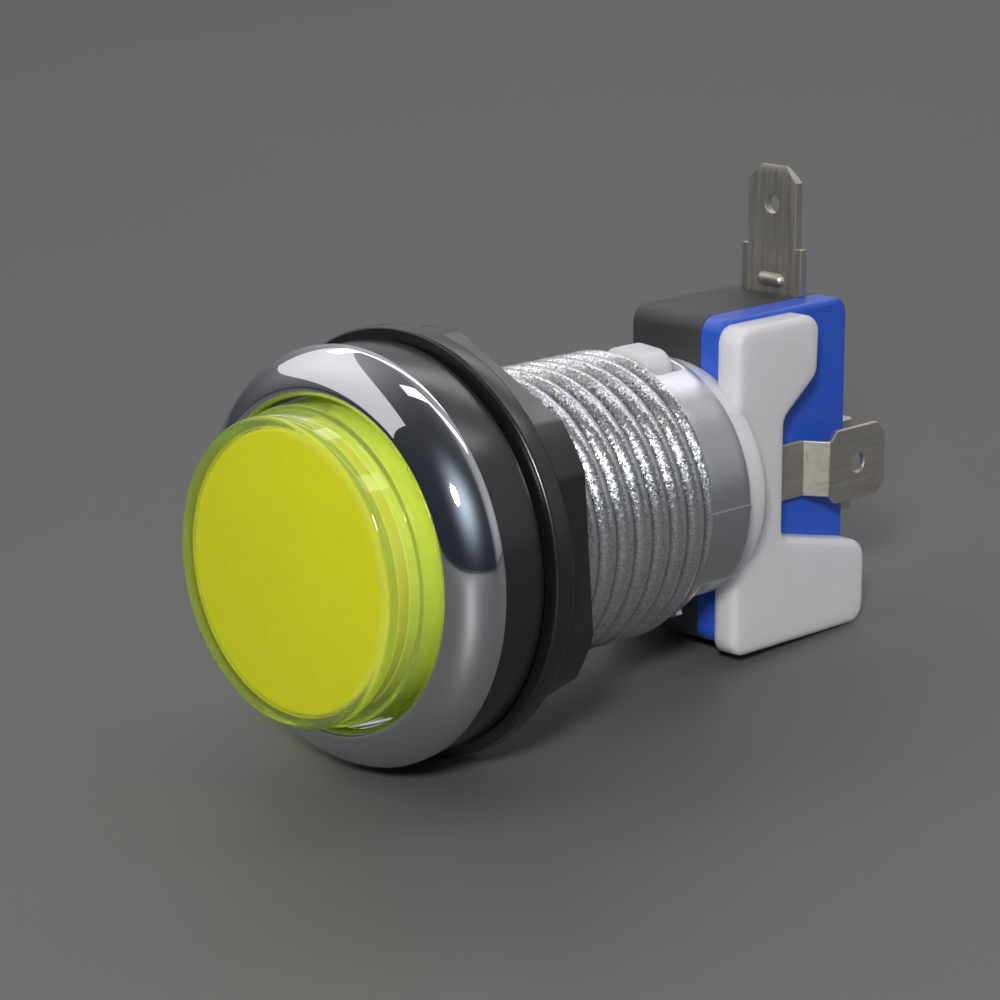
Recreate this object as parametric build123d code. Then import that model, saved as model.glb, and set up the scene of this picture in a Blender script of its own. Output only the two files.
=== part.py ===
from build123d import *
import os
from math import asin, atan2, cos, degrees, hypot, radians, sin, tan

os.makedirs("parts", exist_ok=True)

# Driving dimensions in millimetres. The button's axis is Y, its face looks to -Y, +Z is up as it lies,
# and y = 0 is the plane where the panel seats against the spacer ring. Radii grow from the plunger's
# bore outwards, and places along Y start from the panel's plane.

# Fits
SEAT_GAP = 0.05
PART_GAP = 0.1
CLIP_GAP = 0.3
SLIDE_GAP = 0.4
BOTH_SIDES = (1, -1)
HALF_TURNS = (0, 180)
SAME_POINT = 0.001

# Motion
PRESS_TRAVEL = 2.2
PRESS_MARGIN = 1.4

# Plunger
TUBE_BORE = 6.8
TUBE_WALL = 1.4
HEAD_THICKNESS = 1.5
HEAD_SKIRT = 2.1
HEAD_SKIRT_WALL = 0.85
HOOK_CATCH = 0.8
HOOK_LENGTH = 1.5
HOOK_TAPER = 1.8
HOOK_HALF_WIDTH = 2.5
HOOK_SLOT = 0.6
HOOK_SLOT_LENGTH = 9.4
LEG_HALF_WIDTH = 2.0
LEG_DEPTH = 3.2
LEG_ROOT = 4.4

# Return spring
SPRING_WIRE = 0.8
SPRING_TURNS = 6

# Lens cap
LENS_WALL = 0.85
LENS_FACE = 1.3
LENS_PROUD = 4.0
LENS_DEPTH = 6.6
LENS_STEP_DEPTH = 2.95
LENS_STEP_WIDTH = 0.4
LENS_EDGE = 0.7
LENS_STEP_EDGE = 0.15

# Diffuser
DIFFUSER_THICKNESS = 1.2
DIFFUSER_PLAY = 0.2
DIFFUSER_EDGE = 0.3

# Spacer ring
RING_THICKNESS = 4.2
RING_INSET = 0.25
RING_EDGE = 0.25

# Bezel
LENS_RUN_GAP = 0.45
LIP_ROUND = 0.6
DOME_TILT = radians(21)
DOME_WIDTH = 2.735
DOME_HEIGHT = 2.76
BRIM_THICKNESS = 0.8
NECK_WALL = 1.35

# Barrel
COLLAR_DEPTH = 7.6
COLLAR_LENGTH = 3.0
THREAD_LENGTH = 23.65
THREAD_RUNOUT = 0.5
THREAD_HEIGHT = 0.6
TAIL_LENGTH = 4.3
TAIL_WALL = 1.5
TAIL_EDGE = 0.25
SLOT_LENGTH = 2.9
SLOT_RIM = 0.85
LOCK_TURN = 43.0
EAR_TURN = 4.5
RIB_HALF_WIDTH = 0.2
RIB_HEIGHT = 0.15

# Flange nut
NUT_REST = 0.4
NUT_PLAY = 0.25
NUT_WALL = 3.0
NUT_CORNER_HEIGHT = 1.25
NUT_LEDGE = 0.65
NUT_FLANGE = 1.9
NUT_HEX = 3.7
NUT_TURN = 25.5
NUT_EDGE = 0.3
HEX_SIDES = 6

# Microswitch case
SWITCH_DEPTH = 15.9
SWITCH_HALF_LENGTH = 13.9
SWITCH_HALF_WIDTH = 5.15
COVER_THICKNESS = 2.5
CASE_CORNER = 1.5
CASE_EDGE = 0.4
COVER_EDGE = 0.6
CASE_WALL = 1.5
CASE_BACK_WALL = 1.7
FIXING_HOLE = 1.55
FIXING_INSET = 2.8
FIXING_WALL = 0.9

# Lamp holder
BASE_THICKNESS = 3.05
BASE_INSET = 1.2
EAR_REACH = 0.62
EAR_HALF_WIDTH = 2.55
EAR_EDGE = 1.6
SPIGOT_LENGTH = 4.0
POST_LENGTH = 18.7
PLATE_THICKNESS = 2.25
PLATE_EDGE = 0.6
PLATE_LEAD = 0.65
PLATE_TAIL = 0.25
PLATE_TOP_INSET = 0.35
PLATE_FOOT_MARGIN = 0.4
PLATE_ARM_DEPTH = 10.3
PLATE_ARM_HEIGHT = 5.15
PLATE_ARM_SLANT = 0.2
PLATE_WAIST_DEPTH = 6.0
PLATE_WAIST_TOP = 8.35
PLATE_WAIST_FOOT = 9.4
PLATE_FOOT_HEIGHT = 7.1
PLATE_CORNER = 1.5
PLATE_ARM_CORNER = 1.6
PLATE_WAIST_CORNER = 1.2
PLATE_FOOT_ROOT = 0.9
PLATE_FOOT_CORNER = 1.8
PEG_DEPTH = 3.0

# Lamp
LAMP_COLLAR_LENGTH = 2.0
LAMP_COLLAR_LEDGE = 0.05
LAMP_DOME_LENGTH = 6.0
LAMP_DOME_LEDGE = 0.9
WEDGE_HALF_THICKNESS = 1.2
WEDGE_LENGTH = 7.5
SOCKET_END_GAP = 0.6
LEAD_THICKNESS = 0.3
LEAD_HALF_WIDTH = 0.4
LEAD_SET_BACK = 1.0
LEAD_LENGTH = 5.0
LEAD_GAP = 0.15

# Lamp contact strips
STRIP_THICKNESS = 0.5
STRIP_HALF_NARROW = 1.5
STRIP_HALF_WIDE = 2.4
STRIP_SET_BACK = 1.2
STRIP_WIDE_LENGTH = 9.45
JOGGLE_LENGTH = 1.2
JOGGLE_HEIGHT = 1.9
LAMP_TAB_HALF = 3.15
LAMP_TAB_LENGTH = 7.3
LAMP_TAB_CORNER = 1.0
LAMP_TAB_HOLE = 0.85
LAMP_TAB_HOLE_INSET = 3.6

# Switch pin
PIN_RADIUS = 1.3
PIN_INSET = 2.0
PIN_PROUD = 2.6
PIN_HEAD_LEDGE = 0.65
PIN_HEAD = 0.9
PIN_TIP_EDGE = 0.5

# Switch terminals
TAB_HALF_WIDTH = 2.65
TAB_THICKNESS = 0.8
TAB_CORNER = 1.3
TAB_LEAD = 0.8
TAB_LEAD_DEPTH = 0.25
TAB_HOLE = 0.8
COMMON_INSET = 3.3
COMMON_NECK = 4.0
COMMON_LENGTH = 6.9
COMMON_HOLE_INSET = 3.3
COMMON_SEAT = 0.9
COMMON_LEDGE = 0.3
COMMON_DIMPLE = 1.15
COMMON_DIMPLE_HALF = 0.85
COMMON_DIMPLE_RADIUS = 0.6
COMMON_DIMPLE_SINK = 0.15
REAR_TAB_LENGTH = 5.65
REAR_HOLE_INSET = 2.2
OPEN_Z = 1.6
CLOSED_Z = -5.6
WORK_THICKNESS = 0.4
WORK_SPACING = 0.65
FLOOR_GAP = 0.2

# Snap blade and contacts
BLADE_DEPTH = 7.35
BLADE_INSET = 3.5
BLADE_REST = 1.85
BLADE_HALF_WIDTH = 1.8
BLADE_THICKNESS = 0.3
BLADE_ROLL = 0.3
BLADE_LIP = 1.1
BLADE_WINDOW_START = 5.0
BLADE_WINDOW_LENGTH = 6.5
BLADE_WINDOW_HALF = 0.9
CONTACT_INSET = 3.9
CONTACT_RADIUS = 1.2
CONTACT_HEAD = 0.55
CONTACT_REST_GAP = 0.35
CONTACT_PRESS_GAP = 0.12

# Radii, from the plunger outwards
tube_radius = TUBE_BORE + TUBE_WALL
collar_radius = tube_radius + CLIP_GAP
hook_radius = collar_radius + HOOK_CATCH
spring_radius = tube_radius + SLIDE_GAP + SPRING_WIRE / 2
spring_outer = spring_radius + SPRING_WIRE / 2
bore_radius = spring_outer + SLIDE_GAP
head_skirt_inner = bore_radius + SLIDE_GAP
head_radius = head_skirt_inner + HEAD_SKIRT_WALL
lens_inner = head_radius + PART_GAP
lens_radius = lens_inner + LENS_WALL
lens_skirt = lens_radius + LENS_STEP_WIDTH
lip_radius = lens_skirt + LENS_RUN_GAP
crest_radius = lip_radius + LIP_ROUND
dome_start = crest_radius + LIP_ROUND * sin(DOME_TILT)
brim_radius = dome_start + DOME_WIDTH
neck_radius = lip_radius + NECK_WALL
ring_bore = neck_radius + PART_GAP
ring_radius = brim_radius - RING_INSET
spigot_radius = bore_radius - CLIP_GAP
tail_radius = bore_radius + TAIL_WALL
thread_radius = tail_radius + THREAD_HEIGHT
nut_bore = thread_radius + NUT_PLAY
nut_flat = nut_bore + NUT_WALL
nut_corner = nut_flat + NUT_CORNER_HEIGHT
nut_flange_radius = nut_corner + NUT_LEDGE

# Places along the axis in front of the panel
bezel_rear = -RING_THICKNESS
brim_front = bezel_rear - BRIM_THICKNESS
dome_front = brim_front - DOME_HEIGHT
lip_front = dome_front + LIP_ROUND * cos(DOME_TILT)
crest_front = lip_front - LIP_ROUND
lens_front = crest_front - LENS_PROUD
lens_step = lens_front + LENS_STEP_DEPTH
lens_rear = lens_front + LENS_DEPTH
diffuser_front = lens_front + LENS_FACE + SEAT_GAP
head_front = diffuser_front + DIFFUSER_THICKNESS
head_rear = head_front + HEAD_THICKNESS
recess_floor = lens_rear + PRESS_TRAVEL + PRESS_MARGIN
collar_front = recess_floor + COLLAR_DEPTH
collar_rear = collar_front + COLLAR_LENGTH
hook_front = collar_rear + PART_GAP
tube_end = hook_front + HOOK_LENGTH + HOOK_TAPER

# Places along the axis behind the panel
nut_front = NUT_REST
nut_flange_rear = nut_front + NUT_FLANGE
nut_rear = nut_flange_rear + NUT_HEX
tail_start = THREAD_LENGTH + THREAD_RUNOUT
barrel_end = tail_start + TAIL_LENGTH
slot_rear = barrel_end - SLOT_RIM
slot_front = slot_rear - SLOT_LENGTH
base_front = barrel_end + SEAT_GAP
base_rear = base_front + BASE_THICKNESS
post_front = base_front - POST_LENGTH
lamp_collar_rear = post_front - CLIP_GAP
lamp_collar_front = lamp_collar_rear - LAMP_COLLAR_LENGTH
lamp_dome_front = lamp_collar_front - LAMP_DOME_LENGTH
wedge_end = lamp_collar_rear + WEDGE_LENGTH
switch_front = base_rear + PART_GAP
switch_rear = switch_front + SWITCH_DEPTH
hollow_front = switch_front + CASE_WALL
hollow_rear = switch_rear - CASE_WALL
pin_tip = switch_front - PIN_PROUD

# Places across the switch
cover_joint = SWITCH_HALF_WIDTH - COVER_THICKNESS
hollow_back = CASE_BACK_WALL - SWITCH_HALF_WIDTH
hollow_end = SWITCH_HALF_LENGTH - CASE_WALL
tab_centre = (cover_joint + hollow_back) / 2
tab_low = tab_centre - TAB_HALF_WIDTH
tab_high = tab_centre + TAB_HALF_WIDTH
plate_inner = SWITCH_HALF_WIDTH + PART_GAP
plate_outer = plate_inner + PLATE_THICKNESS
strip_inner = plate_inner + SEAT_GAP
strip_outer = strip_inner + STRIP_THICKNESS
leg_inner = tube_radius - LEG_DEPTH
pin_z = PIN_INSET - tube_radius
fixings = (
    (switch_front + FIXING_INSET, SWITCH_HALF_LENGTH - FIXING_INSET),
    (switch_rear - FIXING_INSET, FIXING_INSET - SWITCH_HALF_LENGTH),
)

# Snap blade's places, at rest and pressed
blade_y = switch_front + BLADE_DEPTH
blade_z = SWITCH_HALF_LENGTH - BLADE_INSET
contact_z = CONTACT_INSET - SWITCH_HALF_LENGTH
half_blade = BLADE_THICKNESS / 2
half_work = WORK_THICKNESS / 2
pin_arm = blade_z - pin_z
contact_lever = (blade_z - contact_z) / pin_arm
contact_rest = blade_y - BLADE_REST * contact_lever
contact_pressed = blade_y + (PRESS_TRAVEL - BLADE_REST) * contact_lever
contact_stack = half_blade + 2 * CONTACT_HEAD
closed_face = contact_rest - contact_stack - CONTACT_REST_GAP
open_face = contact_pressed + contact_stack + CONTACT_PRESS_GAP
pin_end = blade_y - BLADE_REST - half_blade - PART_GAP

AXIAL = Plane(origin=(0, 0, 0), x_dir=(1, 0, 0), z_dir=(0, 1, 0))


def outline(corners):
    """Closed planar face through the corners; a third number on a corner is its round."""
    count = len(corners)
    spans = []
    for index in range(count):
        here = corners[index]
        before = corners[index - 1]
        after = corners[(index + 1) % count]
        radius = here[2] if len(here) > 2 else 0
        point = Vector(here[0], here[1])
        if radius == 0:
            spans.append((point, None, point))
            continue
        back = (Vector(before[0], before[1]) - point).normalized()
        ahead = (Vector(after[0], after[1]) - point).normalized()
        half = radians(back.get_angle(ahead)) / 2
        reach = radius / tan(half)
        middle = (back + ahead).normalized()
        bow = point + middle * (radius / sin(half) - radius)
        spans.append((point + back * reach, bow, point + ahead * reach))
    edges = []
    for index in range(count):
        start, bow, end = spans[index]
        if bow is not None:
            edges.append(ThreePointArc(start, bow, end))
        following = spans[(index + 1) % count][0]
        if (following - end).length > SAME_POINT:
            edges.append(Line(end, following))
    return make_face(edges)


def turned(corners):
    """Solid of revolution about Y from (radius, y) corners."""
    return revolve(outline(corners), Axis.Y)


def tube(outer, inner, start, end):
    """Plain ring on the button's axis."""
    return turned(((inner, start), (outer, start), (outer, end), (inner, end)))


def rod(radius, start, end, x=0, z=0):
    """Cylinder along Y."""
    return Pos(x, start, z) * extrude(AXIAL * Circle(radius), end - start)


def cross_rod(radius, start, end, y, z):
    """Cylinder along X."""
    return Pos(start, y, z) * extrude(Plane.YZ * Circle(radius), end - start)


def block(x0, x1, y0, y1, z0, z1):
    """Box between two corners."""
    middle = Pos((x0 + x1) / 2, (y0 + y1) / 2, (z0 + z1) / 2)
    return middle * Box(abs(x1 - x0), abs(y1 - y0), abs(z1 - z0))


def sector(start, end, front, rear):
    """Wedge about Y between two angles from the top towards +X, reaching out past the barrel."""
    reach = 2 * thread_radius
    low = radians(start)
    high = radians(end)
    face = outline((
        (0, 0), (reach * sin(low), -reach * cos(low)), (reach * sin(high), -reach * cos(high))))
    return Pos(0, front, 0) * extrude(AXIAL * face, rear - front)


def side_plate(corners, x0, x1):
    """Flat piece cut to (y, z) corners and standing between two x planes."""
    return extrude(Plane.YZ.offset(x0) * outline(corners), x1 - x0)


def write(name, *solids):
    """One STEP file for one node."""
    shape = solids[0] if len(solids) == 1 else Compound(children=list(solids))
    export_step(shape, f"parts/{name}.step")


# Lens cap
lens = turned((
    (0, lens_front),
    (lens_radius, lens_front, LENS_EDGE),
    (lens_radius, lens_step),
    (lens_skirt, lens_step, LENS_STEP_EDGE),
    (lens_skirt, lens_rear),
    (lens_inner, lens_rear),
    (lens_inner, lens_front + LENS_FACE),
    (0, lens_front + LENS_FACE),
))
write("lens_cap", lens)

# Diffuser
diffuser_radius = lens_inner - DIFFUSER_PLAY
diffuser = turned((
    (0, diffuser_front),
    (diffuser_radius, diffuser_front, DIFFUSER_EDGE),
    (diffuser_radius, head_front),
    (0, head_front),
))
write("diffuser", diffuser)

# Plunger
plunger = turned((
    (TUBE_BORE, head_front),
    (head_radius, head_front),
    (head_radius, head_rear + HEAD_SKIRT),
    (head_skirt_inner, head_rear + HEAD_SKIRT),
    (head_skirt_inner, head_rear),
    (tube_radius, head_rear),
    (tube_radius, tube_end),
    (TUBE_BORE, tube_end),
))
hook_ring = turned((
    (TUBE_BORE, hook_front),
    (hook_radius, hook_front),
    (hook_radius, hook_front + HOOK_LENGTH),
    (tube_radius, tube_end),
    (TUBE_BORE, tube_end),
))
hook_span = block(-hook_radius, hook_radius, hook_front, tube_end, -HOOK_HALF_WIDTH, HOOK_HALF_WIDTH)
plunger += hook_ring & hook_span
slot_start = tube_end - HOOK_SLOT_LENGTH
for side in BOTH_SIDES:
    slot_inner = side * HOOK_HALF_WIDTH
    slot_outer = side * (HOOK_HALF_WIDTH + HOOK_SLOT)
    plunger -= block(-hook_radius, hook_radius, slot_start, tube_end, slot_inner, slot_outer)
leg_start = tube_end - LEG_ROOT
leg_end = pin_tip - PART_GAP
leg_bar = block(-LEG_HALF_WIDTH, LEG_HALF_WIDTH, leg_start, leg_end, -tube_radius, -leg_inner)
plunger += leg_bar & rod(tube_radius, leg_start, leg_end)
write("plunger", plunger)

# Return spring, standing between the plunger's head and the barrel's collar
spring_start = head_rear + SPRING_WIRE / 2 + SEAT_GAP
spring_end = collar_front - SPRING_WIRE / 2 - SEAT_GAP
spring_height = spring_end - spring_start
coil = Helix(
    pitch=spring_height / SPRING_TURNS, height=spring_height, radius=spring_radius,
    center=(0, spring_start, 0), direction=(0, 1, 0))
wire = Plane(origin=coil @ 0, z_dir=coil % 0) * Circle(SPRING_WIRE / 2)
spring = sweep(wire, path=coil)
write("return_spring", spring)

# Bezel and barrel in one moulding. The lip is rolled over, and the dome runs on from it to the brim.
shell_edges = [
    ThreePointArc((lip_radius, lip_front), (crest_radius, crest_front), (dome_start, dome_front)),
    TangentArc(
        (dome_start, dome_front), (brim_radius, brim_front), tangent=(cos(DOME_TILT), sin(DOME_TILT))),
    Polyline(
        (brim_radius, brim_front),
        (brim_radius, bezel_rear),
        (neck_radius, bezel_rear),
        (neck_radius, 0),
        (thread_radius, 0),
        (thread_radius, THREAD_LENGTH),
        (tail_radius, tail_start),
        (tail_radius, barrel_end - TAIL_EDGE),
        (tail_radius - TAIL_EDGE, barrel_end),
        (bore_radius, barrel_end),
        (bore_radius, collar_rear),
        (collar_radius, collar_rear),
        (collar_radius, collar_front),
        (bore_radius, collar_front),
        (bore_radius, recess_floor),
        (lip_radius, recess_floor),
        (lip_radius, lip_front),
    ),
]
barrel = revolve(make_face(shell_edges), Axis.Y)
slot_half = degrees(asin((EAR_HALF_WIDTH + SLIDE_GAP) / spigot_radius))
for half_turn in HALF_TURNS:
    locked = half_turn + EAR_TURN
    unlocked = locked - LOCK_TURN
    barrel -= sector(unlocked - slot_half, locked + slot_half, slot_front, slot_rear)
    barrel -= sector(unlocked - slot_half, unlocked + slot_half, slot_front, barrel_end)
for side in BOTH_SIDES:
    barrel += block(
        side * (tail_radius - RIB_HEIGHT), side * (tail_radius + RIB_HEIGHT),
        tail_start, barrel_end - TAIL_EDGE, -RIB_HALF_WIDTH, RIB_HALF_WIDTH)
write("bezel_barrel", barrel)

# Spacer ring
ring = turned((
    (ring_bore, bezel_rear),
    (ring_radius, bezel_rear),
    (ring_radius, 0, RING_EDGE),
    (ring_bore, 0),
))
write("spacer_ring", ring)

# Flange nut
nut = turned((
    (nut_bore, nut_front),
    (nut_flange_radius, nut_front, NUT_EDGE),
    (nut_flange_radius, nut_flange_rear, NUT_EDGE),
    (nut_bore, nut_flange_rear),
))
hexagon = AXIAL * Rot(0, 0, -NUT_TURN) * RegularPolygon(nut_flat, HEX_SIDES, major_radius=False)
hex_prism = Pos(0, nut_flange_rear, 0) * extrude(hexagon, NUT_HEX)
hex_limit = turned((
    (nut_bore, nut_flange_rear),
    (nut_corner, nut_flange_rear),
    (nut_corner, nut_rear - NUT_EDGE),
    (nut_corner - NUT_EDGE, nut_rear),
    (nut_bore, nut_rear),
))
nut += hex_prism & hex_limit
write("flange_nut", nut)

# Lamp holder
base_radius = tail_radius - BASE_INSET
ear_radius = tail_radius + EAR_REACH
holder = rod(base_radius, base_front, base_rear)
spigot_bore = tube_radius + SLIDE_GAP
holder += tube(spigot_radius, spigot_bore, base_front - SPIGOT_LENGTH, base_front)
ear_face = outline((
    (-EAR_HALF_WIDTH, -spigot_bore),
    (EAR_HALF_WIDTH, -spigot_bore),
    (EAR_HALF_WIDTH, -ear_radius, EAR_EDGE),
    (-EAR_HALF_WIDTH, -ear_radius, EAR_EDGE),
))
ear = Pos(0, slot_front + PART_GAP, 0) * extrude(AXIAL * ear_face, SLOT_LENGTH - 2 * PART_GAP)
for half_turn in HALF_TURNS:
    holder += Rot(0, half_turn + EAR_TURN, 0) * ear
post_radius = TUBE_BORE - CLIP_GAP
post_flat = leg_inner - SLIDE_GAP
post = rod(post_radius, post_front, base_front)
holder += post & block(-post_radius, post_radius, post_front, base_front, -post_flat, post_radius)
plate_front = switch_front - PLATE_LEAD
plate_rear = switch_rear + PLATE_TAIL
plate_top = SWITCH_HALF_LENGTH - PLATE_TOP_INSET
plate_foot = -SWITCH_HALF_LENGTH - PLATE_FOOT_MARGIN
plate_arm = plate_front + PLATE_ARM_DEPTH
plate_waist = plate_front + PLATE_WAIST_DEPTH
waist_top = plate_top - PLATE_WAIST_TOP
foot_corners = (
    (plate_waist, plate_foot + PLATE_WAIST_FOOT, PLATE_FOOT_ROOT),
    (plate_rear, plate_foot + PLATE_FOOT_HEIGHT, PLATE_FOOT_CORNER),
    (plate_rear, plate_foot, PLATE_ARM_CORNER),
    (plate_front, plate_foot, PLATE_CORNER),
)
near_corners = (
    (plate_front, plate_top, PLATE_CORNER),
    (plate_arm, plate_top, PLATE_ARM_CORNER),
    (plate_arm - PLATE_ARM_SLANT, plate_top - PLATE_ARM_HEIGHT, PLATE_ARM_CORNER),
    (plate_waist, waist_top, PLATE_WAIST_CORNER),
)
far_corners = (
    (plate_front, waist_top, PLATE_CORNER),
    (plate_waist, waist_top, PLATE_WAIST_CORNER),
)
near_plate = side_plate(near_corners + foot_corners, plate_inner, plate_outer)
far_plate = side_plate(far_corners + foot_corners, plate_inner, plate_outer)
upper_peg, lower_peg = [
    cross_rod(FIXING_HOLE - PART_GAP, plate_inner - PEG_DEPTH, plate_inner, y, z) for y, z in fixings]
holder += fillet(near_plate.faces().sort_by(Axis.X)[-1].edges(), PLATE_EDGE) + upper_peg + lower_peg
holder += mirror(
    fillet(far_plate.faces().sort_by(Axis.X)[-1].edges(), PLATE_EDGE) + lower_peg, Plane.YZ)
channel_outer = strip_outer + PART_GAP
channel_half = STRIP_HALF_WIDE + PART_GAP
strip_slot_half = STRIP_HALF_NARROW + SEAT_GAP
for side in BOTH_SIDES:
    holder -= block(
        side * plate_inner, side * channel_outer, base_rear, plate_arm, -channel_half, channel_half)
    holder -= block(
        side * plate_inner, side * (strip_outer + SEAT_GAP), post_front, base_rear,
        -strip_slot_half, strip_slot_half)
socket_half = WEDGE_HALF_THICKNESS + CLIP_GAP
socket_end = wedge_end + SOCKET_END_GAP
holder -= block(-plate_inner, plate_inner, post_front, socket_end, -socket_half, socket_half)
leg_slot_half = LEG_HALF_WIDTH + SLIDE_GAP
holder -= block(
    -leg_slot_half, leg_slot_half, base_front, base_rear, -tube_radius - CLIP_GAP, -post_flat)
write("lamp_holder", holder)

# Lamp
wedge_half = strip_inner - LEAD_THICKNESS - LEAD_GAP
lamp_collar_radius = wedge_half + LAMP_COLLAR_LEDGE
lamp_dome_radius = lamp_collar_radius - LAMP_DOME_LEDGE
lamp_base = rod(lamp_collar_radius, lamp_collar_front, lamp_collar_rear)
lamp_base += block(
    -wedge_half, wedge_half, lamp_collar_rear, wedge_end, -WEDGE_HALF_THICKNESS, WEDGE_HALF_THICKNESS)
write("lamp_base", lamp_base)
lamp_dome = turned((
    (0, lamp_dome_front),
    (lamp_dome_radius, lamp_dome_front, lamp_dome_radius - PART_GAP),
    (lamp_dome_radius, lamp_collar_front),
    (0, lamp_collar_front),
))
write("lamp_dome", lamp_dome)
lead_start = lamp_collar_rear + LEAD_SET_BACK
leads = []
for side in BOTH_SIDES:
    leads.append(block(
        side * wedge_half, side * (wedge_half + LEAD_THICKNESS), lead_start, lead_start + LEAD_LENGTH,
        -LEAD_HALF_WIDTH, LEAD_HALF_WIDTH))
write("lamp_leads", *leads)

# Lamp contact strips
strip_start = post_front + STRIP_SET_BACK
strip_shoulder = base_rear + CLIP_GAP
joggle_start = strip_shoulder + STRIP_WIDE_LENGTH
joggle_end = joggle_start + JOGGLE_LENGTH
lamp_tab_inner = strip_inner + JOGGLE_HEIGHT
lamp_tab_outer = strip_outer + JOGGLE_HEIGHT
lamp_tab_end = joggle_end + LAMP_TAB_LENGTH
lamp_tab_side = LAMP_TAB_HALF - LAMP_TAB_CORNER
contact = block(
    strip_inner, strip_outer, strip_start, strip_shoulder, -STRIP_HALF_NARROW, STRIP_HALF_NARROW)
contact += block(
    strip_inner, strip_outer, strip_shoulder, joggle_start, -STRIP_HALF_WIDE, STRIP_HALF_WIDE)
joggle = outline((
    (strip_inner, joggle_start - STRIP_THICKNESS),
    (strip_outer, joggle_start - STRIP_THICKNESS),
    (strip_outer, joggle_start),
    (lamp_tab_outer, joggle_end),
    (lamp_tab_outer, joggle_end + STRIP_THICKNESS),
    (lamp_tab_inner, joggle_end + STRIP_THICKNESS),
    (lamp_tab_inner, joggle_end),
    (strip_inner, joggle_start),
))
contact += Pos(0, 0, -STRIP_HALF_WIDE) * extrude(joggle, STRIP_HALF_WIDE * 2)
lamp_tab = side_plate(
    (
        (joggle_end, -lamp_tab_side),
        (joggle_end, lamp_tab_side),
        (joggle_end + LAMP_TAB_CORNER, LAMP_TAB_HALF),
        (lamp_tab_end - LAMP_TAB_CORNER, LAMP_TAB_HALF),
        (lamp_tab_end, lamp_tab_side),
        (lamp_tab_end, -lamp_tab_side),
        (lamp_tab_end - LAMP_TAB_CORNER, -LAMP_TAB_HALF),
        (joggle_end + LAMP_TAB_CORNER, -LAMP_TAB_HALF),
    ),
    lamp_tab_inner, lamp_tab_outer)
lamp_tab -= cross_rod(LAMP_TAB_HOLE, lamp_tab_inner, lamp_tab_outer, lamp_tab_end - LAMP_TAB_HOLE_INSET, 0)
contact += lamp_tab
write("lamp_contact_near", contact)
write("lamp_contact_far", mirror(contact, Plane.YZ))

# Switch terminals' places
half_tab = TAB_THICKNESS / 2
tab_slot = half_tab + PART_GAP
common_y = switch_rear - COMMON_INSET
common_half = cover_joint - tab_centre - SEAT_GAP
common_shoulder = SWITCH_HALF_LENGTH + COMMON_NECK
common_top = common_shoulder + COMMON_LENGTH
common_seat = blade_z + COMMON_SEAT
open_run = open_face + half_work
closed_run = open_run + WORK_SPACING
closed_front = closed_face - half_work
closed_floor = FLOOR_GAP + half_work - hollow_end
closed_lip = contact_z + CONTACT_RADIUS
open_lip = contact_z - CONTACT_RADIUS + CLIP_GAP

# Microswitch case
case_outline = (
    (switch_front, -SWITCH_HALF_LENGTH, CASE_CORNER),
    (switch_front, SWITCH_HALF_LENGTH, CASE_CORNER),
    (switch_rear, SWITCH_HALF_LENGTH, CASE_CORNER),
    (switch_rear, -SWITCH_HALF_LENGTH, CASE_CORNER),
)
case = side_plate(case_outline, -SWITCH_HALF_WIDTH, cover_joint)
case = fillet(case.faces().sort_by(Axis.X)[0].edges(), CASE_EDGE)
hollow = block(hollow_back, cover_joint, hollow_front, hollow_rear, -hollow_end, hollow_end)
for fixing_y, fixing_z in fixings:
    hollow -= cross_rod(FIXING_HOLE + FIXING_WALL, hollow_back, cover_joint, fixing_y, fixing_z)
case -= hollow
cover = side_plate(case_outline, cover_joint, SWITCH_HALF_WIDTH)
cover = fillet(cover.faces().sort_by(Axis.X)[-1].edges(), COVER_EDGE)
for fixing_y, fixing_z in fixings:
    case -= cross_rod(FIXING_HOLE, -SWITCH_HALF_WIDTH, cover_joint, fixing_y, fixing_z)
    cover -= cross_rod(FIXING_HOLE, cover_joint, SWITCH_HALF_WIDTH, fixing_y, fixing_z)
case -= rod(PIN_RADIUS + CLIP_GAP, switch_front, hollow_front, tab_centre, pin_z)
case -= block(
    tab_centre - common_half - PART_GAP, cover_joint, common_y - tab_slot, common_y + tab_slot,
    hollow_end, SWITCH_HALF_LENGTH)
for tab_z in (OPEN_Z, CLOSED_Z):
    case -= block(
        tab_low - PART_GAP, cover_joint, hollow_rear, switch_rear, tab_z - tab_slot, tab_z + tab_slot)
case -= block(
    tab_low - PART_GAP, cover_joint, closed_run - half_work - PART_GAP, closed_run + half_work + PART_GAP,
    -hollow_end, CLOSED_Z)
write("switch_base", case)
write("switch_cover", cover)

# Switch pin
pin_head_start = hollow_front + PART_GAP
pin_head_radius = PIN_RADIUS + PIN_HEAD_LEDGE
pin = turned((
    (0, pin_tip),
    (PIN_RADIUS, pin_tip, PIN_TIP_EDGE),
    (PIN_RADIUS, pin_head_start),
    (pin_head_radius, pin_head_start),
    (pin_head_radius, pin_head_start + PIN_HEAD),
    (PIN_RADIUS, pin_head_start + PIN_HEAD),
    (PIN_RADIUS, pin_end, PIN_RADIUS - PART_GAP),
    (0, pin_end),
))
write("switch_pin", Pos(tab_centre, 0, pin_z) * pin)


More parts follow.
